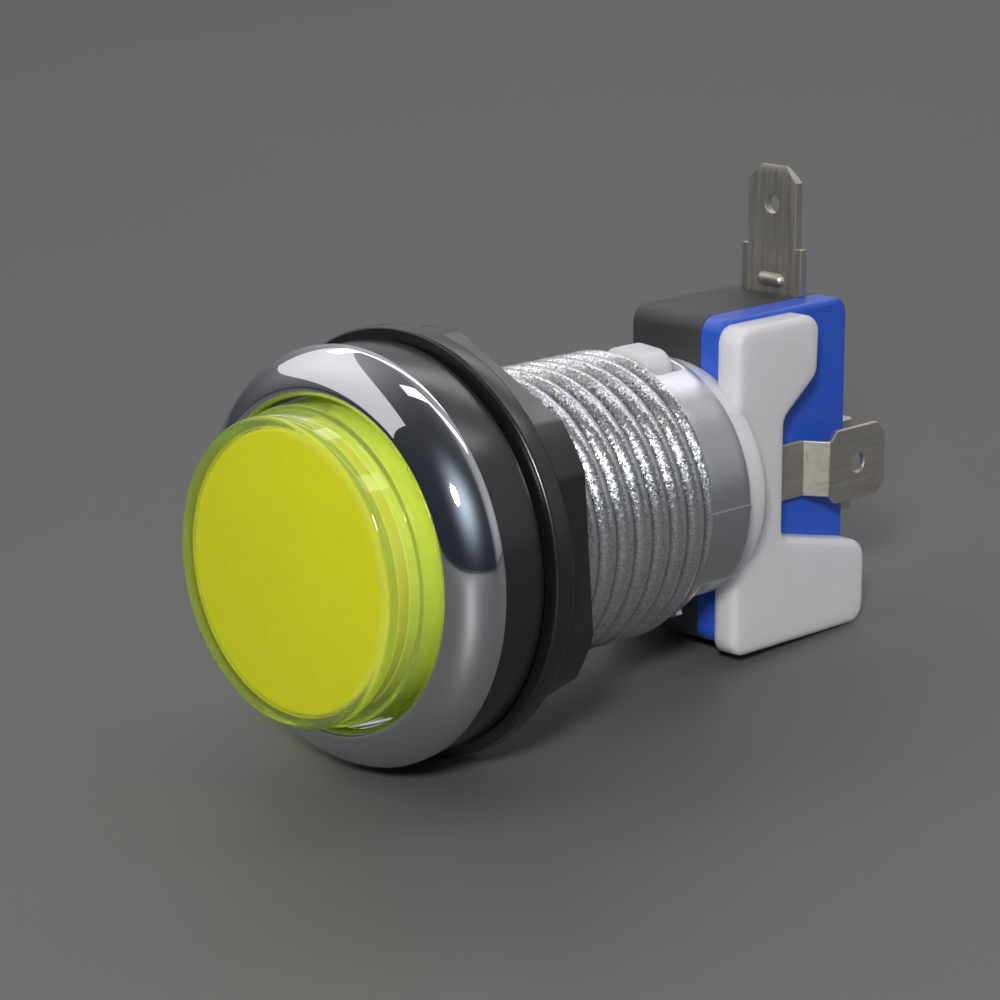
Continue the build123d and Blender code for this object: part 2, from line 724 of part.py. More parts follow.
def flat_tab(start, end, hole_inset):
    """Tab along Y about its own middle plane, with cut corners, a thinned end and a hole."""
    face = outline((
        (tab_low, start),
        (tab_high, start),
        (tab_high, end - TAB_CORNER),
        (tab_high - TAB_CORNER, end),
        (tab_low + TAB_CORNER, end),
        (tab_low, end - TAB_CORNER),
    ))
    face -= Pos(tab_centre, end - hole_inset) * Circle(TAB_HOLE)
    tab = Pos(0, 0, -half_tab) * extrude(face, TAB_THICKNESS)
    for side in BOTH_SIDES:
        tab -= side_plate(
            (
                (end - TAB_LEAD, side * half_tab),
                (end, side * half_tab),
                (end, side * (half_tab - TAB_LEAD_DEPTH)),
            ),
            tab_low, tab_high)
    return tab


# Switch terminals
common_tab = flat_tab(common_shoulder - half_tab, common_top, COMMON_HOLE_INSET)
common = Pos(0, common_y, 0) * Rot(90, 0, 0) * common_tab
neck_half = common_half + COMMON_LEDGE
common += block(
    tab_centre - neck_half, tab_centre + neck_half, common_y - half_tab, common_y + half_tab,
    SWITCH_HALF_LENGTH + SEAT_GAP, common_shoulder)
common += block(
    tab_centre - common_half, tab_centre + common_half, common_y - half_tab, common_y + half_tab,
    common_seat - half_tab, common_shoulder)
common += block(
    tab_low, tab_high, blade_y - BLADE_ROLL, common_y, common_seat - half_tab, common_seat + half_tab)
dimple_y = common_y - half_tab + COMMON_DIMPLE_SINK
dimple_z = SWITCH_HALF_LENGTH + COMMON_DIMPLE
common += cross_rod(
    COMMON_DIMPLE_RADIUS, tab_centre - COMMON_DIMPLE_HALF, tab_centre + COMMON_DIMPLE_HALF,
    dimple_y, dimple_z)
for side in BOTH_SIDES:
    common += Pos(tab_centre + side * COMMON_DIMPLE_HALF, dimple_y, dimple_z) * Sphere(COMMON_DIMPLE_RADIUS)
write("common_terminal", common)
rear_end = switch_rear + REAR_TAB_LENGTH
open_terminal = Pos(0, 0, OPEN_Z) * flat_tab(open_face, rear_end, REAR_HOLE_INSET)
open_terminal += block(tab_low, tab_high, open_face, open_run + half_work, open_lip, OPEN_Z)
write("open_terminal", open_terminal)
closed_terminal = Pos(0, 0, CLOSED_Z) * flat_tab(closed_run - half_work, rear_end, REAR_HOLE_INSET)
closed_terminal += block(
    tab_low, tab_high, closed_run - half_work, closed_run + half_work, closed_floor - half_work, CLOSED_Z)
closed_terminal += block(
    tab_low, tab_high, closed_front - half_work, closed_run + half_work,
    closed_floor - half_work, closed_floor + half_work)
closed_terminal += block(
    tab_low, tab_high, closed_front - half_work, closed_face, closed_floor - half_work, closed_lip)
write("closed_terminal", closed_terminal)
write(
    "fixed_contacts",
    rod(CONTACT_RADIUS, open_face - CONTACT_HEAD, open_face, tab_centre, contact_z),
    rod(CONTACT_RADIUS, closed_face, closed_face + CONTACT_HEAD, tab_centre, contact_z))

# Snap blade, lying against the pin's end at rest
blade_angle = degrees(atan2(BLADE_REST, pin_arm))
blade_place = Pos(tab_centre, blade_y, blade_z) * Rot(-blade_angle, 0, 0)
contact_reach = hypot(blade_z - contact_z, BLADE_REST * contact_lever)
blade_end = contact_reach + BLADE_LIP
window_end = BLADE_WINDOW_START + BLADE_WINDOW_LENGTH
blade = block(-BLADE_HALF_WIDTH, BLADE_HALF_WIDTH, -half_blade, half_blade, -blade_end, 0)
blade += cross_rod(BLADE_ROLL, -BLADE_HALF_WIDTH, BLADE_HALF_WIDTH, 0, 0)
blade -= block(
    -BLADE_WINDOW_HALF, BLADE_WINDOW_HALF, -half_blade, half_blade, -window_end, -BLADE_WINDOW_START)
blade -= rod(CONTACT_RADIUS / 2, -half_blade, half_blade, 0, -contact_reach)
write("snap_blade", blade_place * blade)
rivet = rod(CONTACT_RADIUS, -half_blade - CONTACT_HEAD, -half_blade, 0, -contact_reach)
rivet += rod(CONTACT_RADIUS / 2, -half_blade, half_blade, 0, -contact_reach)
rivet += rod(CONTACT_RADIUS, half_blade, half_blade + CONTACT_HEAD, 0, -contact_reach)
write("moving_contact", blade_place * rivet)
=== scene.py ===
from math import acos, atan2, cos, pi, radians, sin, tau

import bmesh
import bpy
from bpy.props import FloatProperty, FloatVectorProperty, PointerProperty
from mathutils import Matrix, Vector


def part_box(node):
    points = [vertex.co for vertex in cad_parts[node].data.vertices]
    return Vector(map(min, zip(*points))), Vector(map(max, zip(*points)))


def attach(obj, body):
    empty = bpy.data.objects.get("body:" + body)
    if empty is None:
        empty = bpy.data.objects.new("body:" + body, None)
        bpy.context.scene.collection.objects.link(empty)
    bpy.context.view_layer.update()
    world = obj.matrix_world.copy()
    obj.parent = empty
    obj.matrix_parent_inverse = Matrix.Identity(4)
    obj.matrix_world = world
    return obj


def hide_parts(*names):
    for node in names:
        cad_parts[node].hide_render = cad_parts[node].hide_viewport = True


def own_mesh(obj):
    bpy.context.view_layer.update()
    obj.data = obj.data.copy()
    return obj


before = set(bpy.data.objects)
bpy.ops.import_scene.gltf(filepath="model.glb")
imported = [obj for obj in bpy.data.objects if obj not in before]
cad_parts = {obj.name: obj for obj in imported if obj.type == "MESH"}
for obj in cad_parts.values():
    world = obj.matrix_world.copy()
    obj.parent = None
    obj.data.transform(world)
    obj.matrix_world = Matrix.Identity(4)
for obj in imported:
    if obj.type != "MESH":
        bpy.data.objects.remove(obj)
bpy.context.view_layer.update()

bl_info = {
    "name": "Lit push button",
    "version": (1, 0, 0),
    "blender": (4, 5, 0),
    "location": "View3D > Sidebar > Push button",
    "description": "Dresses the packed push button with smooth pieces and finishes, and sets its stage",
    "category": "Object",
}

MM = 0.001

# How finely shapes are drawn
WELD = 1e-7
COPY_WELD = 1e-6
AROUND = 256
ARC_STEPS = 24
ROUND_STEPS = 6
EDGE_STEPS = 3
FLAT_STEPS = 24
CORNER_STEPS = 10
THREAD_ROWS = 240
TURN_STEPS = 48
WIRE_STEPS = 14
HEX_SIDES = 6
SIDE_TURN = tau / HEX_SIDES

# Angles that tell a flat face, a smooth curve, an edge to round and a square corner, and how far a
# flat face rules the shading at its border
FLAT_ANGLE = radians(0.6)
SMOOTH_ANGLE = radians(24)
EDGE_ANGLE = radians(35)
CURVE_ANGLE = radians(40)
SQUARE_ANGLE = radians(60)
LEVEL_WEIGHT = 100

# Rounds on copied pieces, the spring's wire and how sharp the thread's valleys are
CASE_EDGE = 0.12 * MM
NYLON_EDGE = 0.15 * MM
TAB_EDGE = 0.1 * MM
WIRE_RADIUS = 0.4 * MM
WIRE_TURNS = 6.0
VALLEY_POWER = 2.2

# Sockets of a colour mix, and values of the materials
MIX_FIRST, MIX_SECOND, MIX_RESULT = 6, 7, 2
NOISE_RANGE = (0.3, 0.7)
WAVE_SCALE = 260.0
WAVE_SHARE = 0.8
SPECK_SCALE = 700.0
SPECK_SIZE = 0.07
DUST_GREY = (0.30, 0.30, 0.31, 1)
FLESH_DEPTH = 2.2 * MM
WALL_FADE = 0.3 * MM
EVEN_MARKS = (1.0, 1.0, 1.0)
AXIS_MARKS = (1.0, 0.06, 1.0)
UPRIGHT_MARKS = (1.0, 1.0, 0.06)

# Camera, then the name, power setting, azimuth, elevation, distance, size, colour and shape of each
# light, and the azimuth, elevation, tightness and colour of each glow of the room. Angles are in degrees,
# lengths in metres and the sensor in millimetres
SENSOR_WIDTH = 36.0
NEAR_CLIP = 10 * MM
FAR_CLIP = 10.0
LIGHT_AIM = (0, 15 * MM, 0)
LIGHTS = (
    ("round_lamp", "lamp", 40, 28, 0.58, (0.09, 0.09), (1.0, 0.99, 0.97), "DISK"),
    ("panel_left", "panel", -61, 40, 0.60, (0.98, 0.40), (1.0, 1.0, 1.0), "RECTANGLE"),
    ("strip_over", "strips", 150, 71, 0.60, (0.10, 0.66), (0.95, 0.93, 1.0), "RECTANGLE"),
    ("strip_back", "strips", -140, 47, 0.60, (0.69, 0.10), (0.97, 0.96, 1.0), "RECTANGLE"),
)
ROOM_GLOWS = (
    (50, 27, 30.0, (0.80, 0.92, 1.05)),
    (-78, 44, 7.0, (0.42, 0.42, 0.42)),
    (-138, 22, 10.0, (0.60, 0.60, 0.60)),
    (162, 48, 7.0, (0.46, 0.46, 0.45)),
    (128, 17, 14.0, (0.42, 0.42, 0.43)),
)

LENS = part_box("lens_cap")
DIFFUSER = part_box("diffuser")
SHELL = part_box("bezel_barrel")
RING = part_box("spacer_ring")
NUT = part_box("flange_nut")
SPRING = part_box("return_spring")
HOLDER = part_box("lamp_holder")


def length(label, words, default):
    """A size in metres for the sidebar."""
    return FloatProperty(
        name=label, description=words, default=default, precision=5, subtype="DISTANCE", unit="LENGTH")


def colour(label, words, default):
    """A linear colour for the sidebar."""
    return FloatVectorProperty(
        name=label, description=words, default=default, size=3, min=0, max=1, subtype="COLOR")


def turn(label, words, default):
    """An angle for the sidebar, given in degrees."""
    return FloatProperty(
        name=label, description=words, default=radians(default), subtype="ANGLE", unit="ROTATION")


def watts(label, words, default):
    """A light's power for the sidebar."""
    return FloatProperty(name=label, description=words, default=default, min=0, unit="POWER")


class PUSHBUTTON_PG_cap(bpy.types.PropertyGroup):
    """Sizes and colours of the lens cap and its diffuser."""

    step_depth: length("Step depth", "From the cap's face back to the step in its side", 2.95 * MM)
    step_width: length("Step width", "How far the rear part of the side stands out", 0.4 * MM)
    wall: length("Wall", "Thickness of the cap's side", 0.85 * MM)
    face: length("Face", "Thickness of the cap's face", 1.3 * MM)
    edge: length("Edge", "Round at the rim of the face", 0.45 * MM)
    fine_edge: length("Fine edge", "Round at the step and the rear edge", 0.1 * MM)
    disc_edge: length("Disc edge", "Round at the front of the diffuser", 0.3 * MM)
    tint: colour("Cap tint", "Colour of light that has passed the cap's skin", (0.96, 0.93, 0.08))
    # Painted light: a paler tint on the rim and side wall that stands in for light carried along the clear
    # wall
    wall_glow_tint: colour("Wall tint", "Paler colour of the cap's rim and side wall", (0.89, 0.95, 0.31))
    depth_tint: colour("Depth tint", "Colour that the cap's own depth adds", (0.82, 0.98, 0.05))
    shadow_tint: colour("Shadow tint", "Colour of the light that reaches the floor", (0.96, 0.98, 0.66))
    milk: colour("Diffuser", "Colour of the milky disc", (0.54, 0.465, 0.06))


class PUSHBUTTON_PG_shell(bpy.types.PropertyGroup):
    """Sizes and colours of the chrome bezel and the threaded barrel."""

    lip_radius: length("Lip radius", "Radius of the bezel's opening", 12.85 * MM)
    lip_round: length("Lip round", "Radius of the rolled lip round the opening", 0.6 * MM)
    dome_tilt: turn("Dome tilt", "Slope where the lip's roll passes into the dome", 21.0)
    dome_height: length("Dome height", "From the brim's edge to the start of the dome", 2.76 * MM)
    brim_thickness: length("Brim", "Thickness of the brim", 0.8 * MM)
    neck_wall: length("Neck wall", "Wall of the neck inside the spacer ring", 1.35 * MM)
    recess_floor: length("Recess floor", "Place of the recess floor along the axis", -1.6 * MM)
    thread_end: length("Thread end", "Where the thread stops along the axis", 23.65 * MM)
    thread_radius: length("Thread radius", "Radius over the crests of the thread", 11.88 * MM)
    thread_depth: length("Thread depth", "From crest to root", 0.6 * MM)
    thread_pitch: length("Thread pitch", "From crest to crest along the axis", 2.02 * MM)
    thread_lean: FloatProperty(name="Lean", description="How far the crests lean to the rear", default=1.3)
    thread_fade: length("Thread fade", "Length over which the thread runs in and out", 0.3 * MM)
    tail_radius: length("Tail radius", "Radius of the plain tail", 11.3 * MM)
    bore_radius: length("Bore radius", "Radius of the bore", 9.8 * MM)
    collar_radius: length("Collar radius", "Radius of the bore that guides the plunger", 8.5 * MM)
    collar_front: length("Collar front", "Where the collar starts along the axis", 6.0 * MM)
    collar_rear: length("Collar rear", "Where the collar ends along the axis", 9.0 * MM)
    slot_front: length("Slot front", "Front wall of the twist-lock slots", 24.7 * MM)
    slot_rear: length("Slot rear", "Rear wall of the twist-lock slots", 27.6 * MM)
    slot_half: turn("Slot half width", "Half the angle that an ear needs in its slot", 18.1)
    slot_turn: turn("Slot turn", "From the top and bottom to the locked ends", 4.5)
    lock_turn: turn("Lock turn", "From a slot's entry to its locked end", 43.0)
    rib_width: length("Rib width", "Width of the moulding line on the tail", 0.4 * MM)
    rib_height: length("Rib height", "Height of the moulding line on the tail", 0.15 * MM)
    glint: colour("Glint", "Warm colour of the facets that glint", (1.0, 0.91, 0.64))
    # Valley: painted shade, the dark colour the thread takes towards its root where shade falls between the
    # crests
    valley: colour("Valley", "Dull plating at the bottom of the thread", (0.20, 0.20, 0.21))
    plating: colour("Plating", "Colour of the chrome plating", (0.78, 0.79, 0.82))


class PUSHBUTTON_PG_nut(bpy.types.PropertyGroup):
    """Sizes of the spacer ring and the flange nut."""

    ring_bore: length("Ring bore", "Radius of the spacer ring's bore", 14.3 * MM)
    ring_edge: length("Ring edge", "Round on the ring's rear edge", 0.25 * MM)
    flange: length("Flange", "Thickness of the nut's flange", 1.9 * MM)
    flat_radius: length("Flat radius", "From the axis to a flat of the hexagon", 15.15 * MM)
    corner_radius: length("Corner radius", "Radius over the hexagon's turned corners", 16.4 * MM)
    bore: length("Bore", "Radius of the nut's bore", 12.15 * MM)
    edge: length("Edge", "Round or chamfer on the nut's edges", 0.3 * MM)
    turned: turn("Turn", "How far the hexagon is turned about the axis", 25.5)


class PUSHBUTTON_PG_finish(bpy.types.PropertyGroup):
    """Colours of the plastics and metals behind the bezel."""

    black_ring: colour("Ring black", "Black of the spacer ring", (0.010, 0.010, 0.011))
    black_nut: colour("Nut black", "Black of the nut", (0.009, 0.009, 0.010))
    nylon: colour("Nylon", "White of the lamp holder", (0.86, 0.86, 0.88))
    carrier: colour("Carrier", "White of the plunger", (0.62, 0.62, 0.58))
    switch_black: colour("Switch black", "Black half of the switch case", (0.042, 0.042, 0.043))
    switch_blue: colour("Switch blue", "Blue half of the switch case", (0.021, 0.112, 0.68))
    nickel: colour("Nickel", "Plating of the terminals", (0.64, 0.61, 0.55))
    tarnish: colour("Tarnish", "Dull patches on the terminals", (0.42, 0.37, 0.29))
    steel: colour("Steel", "Spring wire and lamp leads", (0.60, 0.60, 0.61))
    copper: colour("Copper", "Snap blade", (0.72, 0.40, 0.24))
    silver: colour("Silver", "Contact rivets", (0.86, 0.85, 0.82))
    lamp_grey: colour("Lamp base", "Grey of the lamp's base", (0.45, 0.45, 0.43))
    lamp_glass: colour("Lamp glass", "Tint of the lamp's dome", (0.95, 0.95, 0.93))
    pin_red: colour("Pin", "Red of the switch's pin", (0.62, 0.10, 0.06))


class PUSHBUTTON_PG_stage(bpy.types.PropertyGroup):
    """Camera, floor and lights."""

    azimuth: turn("Azimuth", "Camera's turn about the vertical", 45.549)
    elevation: turn("Elevation", "Camera's height above the horizon", 14.33)
    roll: turn("Roll", "Camera's roll", -0.114)
    distance: length("Distance", "From the camera to the point it looks at", 272.72 * MM)
    target: FloatVectorProperty(
        name="Target", description="Point that the camera looks at", subtype="TRANSLATION", unit="LENGTH",
        size=3, default=(-4.752 * MM, 15.805 * MM, -0.064 * MM))
    focal: FloatProperty(
        name="Focal length", description="Focal length in millimetres", default=120.57, unit="CAMERA")
    floor: colour("Floor", "Grey of the floor", (0.155, 0.155, 0.155))
    floor_reach: length("Floor reach", "Half the floor's width", 1.4)
    lamp: watts("Lamp", "Power of the round lamp beside the camera", 2.05)
    panel: watts("Panel", "Power of the soft panel on the left", 0.74)
    strips: watts("Strips", "Power of each strip over the back", 0.48)
    room: FloatProperty(name="Room", description="Strength of the room's own light", default=0.8)
    room_low: colour("Room low", "Room's light at the horizon", (0.030, 0.034, 0.046))
    room_high: colour("Room high", "Room's light overhead", (0.060, 0.062, 0.072))


class PUSHBUTTON_PG_all(bpy.types.PropertyGroup):
    """Every setting of the push button."""

    cap: PointerProperty(type=PUSHBUTTON_PG_cap)
    shell: PointerProperty(type=PUSHBUTTON_PG_shell)
    nut: PointerProperty(type=PUSHBUTTON_PG_nut)
    finish: PointerProperty(type=PUSHBUTTON_PG_finish)
    stage: PointerProperty(type=PUSHBUTTON_PG_stage)


# Nodes


def feed(tree, node, inputs):
    """Sets each named input of a node, or links it to a socket."""
    for name, value in inputs.items():
        if isinstance(value, bpy.types.NodeSocket):
            tree.links.new(value, node.inputs[name])
        else:
            node.inputs[name].default_value = value


def add_node(tree, kind, inputs=None, **properties):
    """A new node with its properties and inputs set."""
    made = tree.nodes.new(kind)
    for name, value in properties.items():
        setattr(made, name, value)
    feed(tree, made, inputs or {})
    return made


def compute(tree, operation, first, second=0.0, third=0.0, clamp=False):
    """Output of one Math node."""
    inputs = {0: first, 1: second, 2: third}
    return add_node(tree, "ShaderNodeMath", inputs, operation=operation, use_clamp=clamp).outputs[0]


def vector(tree, operation, first, second=(0.0, 0.0, 0.0), output="Vector", **inputs):
    """Output of one Vector Math node."""
    inputs = {0: first, 1: second, **inputs}
    return add_node(tree, "ShaderNodeVectorMath", inputs, operation=operation).outputs[output]


def blend(tree, mask, first, second, kind="MIX"):
    """Output of a colour mix by a mask."""
    made = add_node(
        tree, "ShaderNodeMix", {"Factor": mask, MIX_FIRST: first, MIX_SECOND: second},
        data_type="RGBA", blend_type=kind, clamp_factor=True)
    return made.outputs[MIX_RESULT]


def remap(tree, value, low, high, to_low, to_high):
    """Output of one Map Range node."""
    return add_node(tree, "ShaderNodeMapRange", {0: value, 1: low, 2: high, 3: to_low, 4: to_high}).outputs[0]


def noise(tree, place, scale, detail, roughness=0.5):
    """Value of one Noise Texture node."""
    made = add_node(tree, "ShaderNodeTexNoise", {
        "Vector": place, "Scale": scale, "Detail": detail, "Roughness": roughness})
    return made.outputs["Fac"]


def bumped(tree, height, depth):
    """Normal of a surface with a height of this depth in it."""
    made = add_node(tree, "ShaderNodeBump", {"Height": height, "Distance": depth, "Strength": 1.0})
    return made.outputs["Normal"]


def opaque(rgb, share=1.0):
    """A colour property as four numbers, made darker or lighter by a share."""
    return (*(min(1.0, part * share) for part in rgb), 1.0)


def add_sockets(tree, way, kinds):
    """Gives a node group its sockets: names listed under the kind of socket."""
    for kind, labels in kinds.items():
        for label in labels:
            tree.interface.new_socket(label, in_out=way, socket_type="NodeSocket" + kind)


def node_group(name, kind, inputs, outputs):
    """An empty node group with named sockets, the sockets inside it and its end node."""
    tree = bpy.data.node_groups.new(name, kind)
    add_sockets(tree, "INPUT", inputs)
    add_sockets(tree, "OUTPUT", outputs)
    return tree, tree.nodes.new("NodeGroupInput").outputs, tree.nodes.new("NodeGroupOutput")


def moulded_skin_group(name):
    """Fine grain, slow unevenness and dust of a moulded plastic surface."""
    tree, start, end = node_group(
        name, "ShaderNodeTree", {"Vector": ("Vector",), "Float": ("Grain", "Depth", "Dust")},
        {"Vector": ("Normal",), "Float": ("Cloud", "Speck")})
    grain = noise(tree, start["Vector"], start["Grain"], 3.0, 0.6)
    wave = noise(tree, start["Vector"], WAVE_SCALE, 2.0)
    height = compute(tree, "MULTIPLY_ADD", wave, WAVE_SHARE, grain)
    cells = add_node(tree, "ShaderNodeTexVoronoi", {
        "Vector": start["Vector"], "Scale": SPECK_SCALE, "Randomness": 1.0})
    pick = add_node(tree, "ShaderNodeSeparateColor", {"Color": cells.outputs["Color"]})
    size = compute(tree, "MULTIPLY", pick.outputs["Red"], SPECK_SIZE)
    inside = compute(tree, "LESS_THAN", cells.outputs["Distance"], size)
    chosen = compute(tree, "LESS_THAN", pick.outputs["Green"], start["Dust"])
    feed(tree, end, {
        "Normal": bumped(tree, height, start["Depth"]),
        "Cloud": wave,
        "Speck": compute(tree, "MULTIPLY", inside, chosen)})
    return tree


def plating_grain_group(name):
    """Small facets of a grained plating, each tilted its own way."""
    tree, start, end = node_group(
        name, "ShaderNodeTree", {"Vector": ("Vector",), "Float": ("Scale", "Tilt", "Sparks")},
        {"Vector": ("Normal",), "Float": ("Facet", "Spark")})
    cells = add_node(tree, "ShaderNodeTexVoronoi", {
        "Vector": start["Vector"], "Scale": start["Scale"], "Randomness": 1.0})
    pick = add_node(tree, "ShaderNodeSeparateColor", {"Color": cells.outputs["Color"]})
    centred = vector(tree, "SUBTRACT", cells.outputs["Color"], (0.5, 0.5, 0.5))
    tilted = vector(tree, "SCALE", centred, Scale=start["Tilt"])
    facing = tree.nodes.new("ShaderNodeNewGeometry").outputs["Normal"]
    feed(tree, end, {
        "Normal": vector(tree, "NORMALIZE", vector(tree, "ADD", tilted, facing)),
        "Facet": pick.outputs["Green"],
        "Spark": compute(tree, "LESS_THAN", pick.outputs["Blue"], start["Sparks"])})
    return tree


def hairline_group(name):
    """Fine scratches that run along one direction of a stretched vector."""
    tree, start, end = node_group(
        name, "ShaderNodeTree", {"Vector": ("Vector", "Stretch"), "Float": ("Scale", "Depth")},
        {"Vector": ("Normal",), "Float": ("Line",)})
    drawn = vector(tree, "MULTIPLY", start["Vector"], start["Stretch"])
    lines = noise(tree, drawn, start["Scale"], 4.0, 0.65)
    feed(tree, end, {"Normal": bumped(tree, lines, start["Depth"]), "Line": lines})
    return tree


def glow_group(name):
    """A soft round glow about one direction, added to what lies below it."""
    tree, start, end = node_group(
        name, "ShaderNodeTree",
        {"Color": ("Below", "Glow"), "Vector": ("Direction", "Toward"), "Float": ("Tightness",)},
        {"Color": ("Color",)})
    near = vector(tree, "DOT_PRODUCT", start["Direction"], start["Toward"], "Value")
    fall = compute(tree, "POWER", compute(tree, "MAXIMUM", near, 0.0), start["Tightness"])
    feed(tree, end, {"Color": blend(tree, fall, start["Below"], start["Glow"], "ADD")})
    return tree


SHARED_GROUPS = {
    "Moulded skin": moulded_skin_group,
    "Plating grain": plating_grain_group,
    "Hairlines": hairline_group,
    "Room glow": glow_group,
}


def shared(tree, name, inputs):
    """Outputs of a node that holds a shared group, which is made the first time it is asked for."""
    group = bpy.data.node_groups.get(name) or SHARED_GROUPS[name](name)
    return add_node(tree, "ShaderNodeGroup", inputs, node_tree=group).outputs


def axis_radius(tree, place):
    """Distance of a point from the button's axis."""
    return vector(tree, "LENGTH", vector(tree, "MULTIPLY", place, (1.0, 0.0, 1.0)), output="Value")


# Materials


def new_material(name):
    """An empty material with its shader, output and object coordinates."""
    material = bpy.data.materials.new(name)
    material.use_nodes = True
    tree = material.node_tree
    tree.nodes.clear()
    shader = tree.nodes.new("ShaderNodeBsdfPrincipled")
    output = tree.nodes.new("ShaderNodeOutputMaterial")
    tree.links.new(shader.outputs[0], output.inputs["Surface"])
    place = tree.nodes.new("ShaderNodeTexCoord").outputs["Object"]
    return material, tree, shader, output, place


def plastic(name, rgb, rough, grain=4200.0, depth=0.000006, dust=0.0, uneven=0.12, flesh=0.0, shine=0.5):
    """Moulded plastic with a fine skin, slightly uneven colour and gloss, and a little dust."""
    material, tree, shader, _, place = new_material(name)
    skin = shared(tree, "Moulded skin", {"Vector": place, "Grain": grain, "Depth": depth, "Dust": dust})
    body = blend(tree, skin["Cloud"], opaque(rgb, 1 - uneven), opaque(rgb, 1 + uneven))
    feed(tree, shader, {
        "Base Color": blend(tree, skin["Speck"], body, DUST_GREY),
        "Roughness": remap(tree, skin["Cloud"], *NOISE_RANGE, rough * 0.88, rough * 1.12),
        "Normal": skin["Normal"],
        "Specular IOR Level": shine,
        "Subsurface Weight": flesh,
        "Subsurface Radius": (1.0, 1.0, 1.0),
        "Subsurface Scale": FLESH_DEPTH})
    return material


def cap_material(cap):
    """Clear tinted plastic whose depth adds its own colour."""
    material, tree, shader, output, place = new_material("cap_clear")
    skin = shared(tree, "Moulded skin", {"Vector": place, "Grain": 900.0, "Depth": 0.000001})
    # Painted light: the rim and side wall take the paler tint in place of light carried along the clear wall
    disc_edge = DIFFUSER[1].x
    wall = remap(tree, axis_radius(tree, place), disc_edge - WALL_FADE, disc_edge + WALL_FADE, 0.0, 1.0)
    feed(tree, shader, {
        "Base Color": blend(tree, wall, opaque(cap.tint), opaque(cap.wall_glow_tint)),
        "Roughness": remap(tree, skin["Cloud"], *NOISE_RANGE, 0.02, 0.05),
        "Normal": skin["Normal"],
        "IOR": 1.49,
        "Transmission Weight": 0.80})
    clear = add_node(tree, "ShaderNodeBsdfTransparent", {"Color": opaque(cap.shadow_tint)})
    lamp_ray = tree.nodes.new("ShaderNodeLightPath").outputs["Is Shadow Ray"]
    mixed = add_node(tree, "ShaderNodeMixShader", {0: lamp_ray, 1: shader.outputs[0], 2: clear.outputs[0]})
    depth = add_node(tree, "ShaderNodeVolumeAbsorption", {"Color": opaque(cap.depth_tint), "Density": 240.0})
    feed(tree, output, {"Surface": mixed.outputs[0], "Volume": depth.outputs[0]})
    return material


def chrome_material(shell):
    """Mirror plating with a slight orange peel and faint wiping marks."""
    material, tree, shader, _, place = new_material("chrome_mirror")
    marks = shared(tree, "Hairlines", {
        "Vector": place, "Stretch": (1.0, 0.08, 1.0), "Scale": 900.0, "Depth": 0.0000002})
    peel = shared(tree, "Moulded skin", {"Vector": place, "Grain": 500.0, "Depth": 0.0000012, "Dust": 0.04})
    feed(tree, shader, {
        "Base Color": blend(tree, peel["Speck"], opaque(shell.plating), (0.5, 0.5, 0.5, 1)),
        "Metallic": 1.0,
        "Roughness": remap(tree, marks["Line"], 0.45, 0.8, 0.02, 0.06),
        "Normal": peel["Normal"]})
    return material


def thread_material(shell):
    """Plating over a grained thread, with painted shade darkening its valleys, whose small facets glint."""
    material, tree, shader, _, place = new_material("plated_thread")
    grain = shared(tree, "Plating grain", {"Vector": place, "Scale": 7200.0, "Tilt": 0.22, "Sparks": 0.12})
    body = blend(tree, grain["Facet"], opaque(shell.plating, 0.80), opaque(shell.plating, 1.2))
    glint = blend(tree, grain["Spark"], body, opaque(shell.glint))
    # Painted shade: the colour darkens from the crests down to the valley colour at the thread's root
    root = shell.thread_radius - shell.thread_depth
    rise = remap(tree, axis_radius(tree, place), root, root + 0.5 * shell.thread_depth, 0.0, 1.0)
    feed(tree, shader, {
        "Base Color": blend(tree, rise, opaque(shell.valley), glint),
        "Metallic": 1.0,
        "Roughness": remap(tree, grain["Spark"], 0.0, 1.0, 0.31, 0.20),
        "Normal": grain["Normal"]})
    return material


def tail_material(shell):
    """Satin plating with marks that run round the tail."""
    material, tree, shader, _, place = new_material("plated_tail")
    marks = shared(tree, "Hairlines", {
        "Vector": place, "Stretch": (0.12, 1.6, 0.12), "Scale": 1500.0, "Depth": 0.0000005})
    feed(tree, shader, {
        "Base Color": blend(tree, marks["Line"], opaque(shell.plating, 0.86), opaque(shell.plating)),
        "Metallic": 1.0,
        "Roughness": remap(tree, marks["Line"], *NOISE_RANGE, 0.26, 0.34),
        "Normal": marks["Normal"]})
    return material


def metal(name, rgb, dull, rough, stretch):
    """Stamped or drawn metal with hairlines and dull patches."""
    material, tree, shader, _, place = new_material(name)
    marks = shared(tree, "Hairlines", {
        "Vector": place, "Stretch": stretch, "Scale": 2200.0, "Depth": 0.000004})
    patch = remap(tree, noise(tree, place, 420.0, 5.0), 0.52, 0.72, 0.0, 0.55)
    gloss = remap(tree, marks["Line"], *NOISE_RANGE, rough * 0.8, rough * 1.2)
    feed(tree, shader, {
        "Base Color": blend(tree, patch, opaque(rgb), opaque(dull)),
        "Metallic": 1.0,
        "Roughness": compute(tree, "MULTIPLY_ADD", patch, 0.25, gloss),
        "Normal": marks["Normal"]})
    return material


def glass_material(name, rgb):
    """Clear glass with slight moulding waves."""
    material, tree, shader, _, place = new_material(name)
    skin = shared(tree, "Moulded skin", {"Vector": place, "Grain": 600.0, "Depth": 0.000002})
    feed(tree, shader, {
        "Base Color": blend(tree, skin["Cloud"], opaque(rgb), (1, 1, 1, 1)),
        "Normal": skin["Normal"],
        "Roughness": 0.05,
        "Transmission Weight": 0.9})
    return material


# Meshes


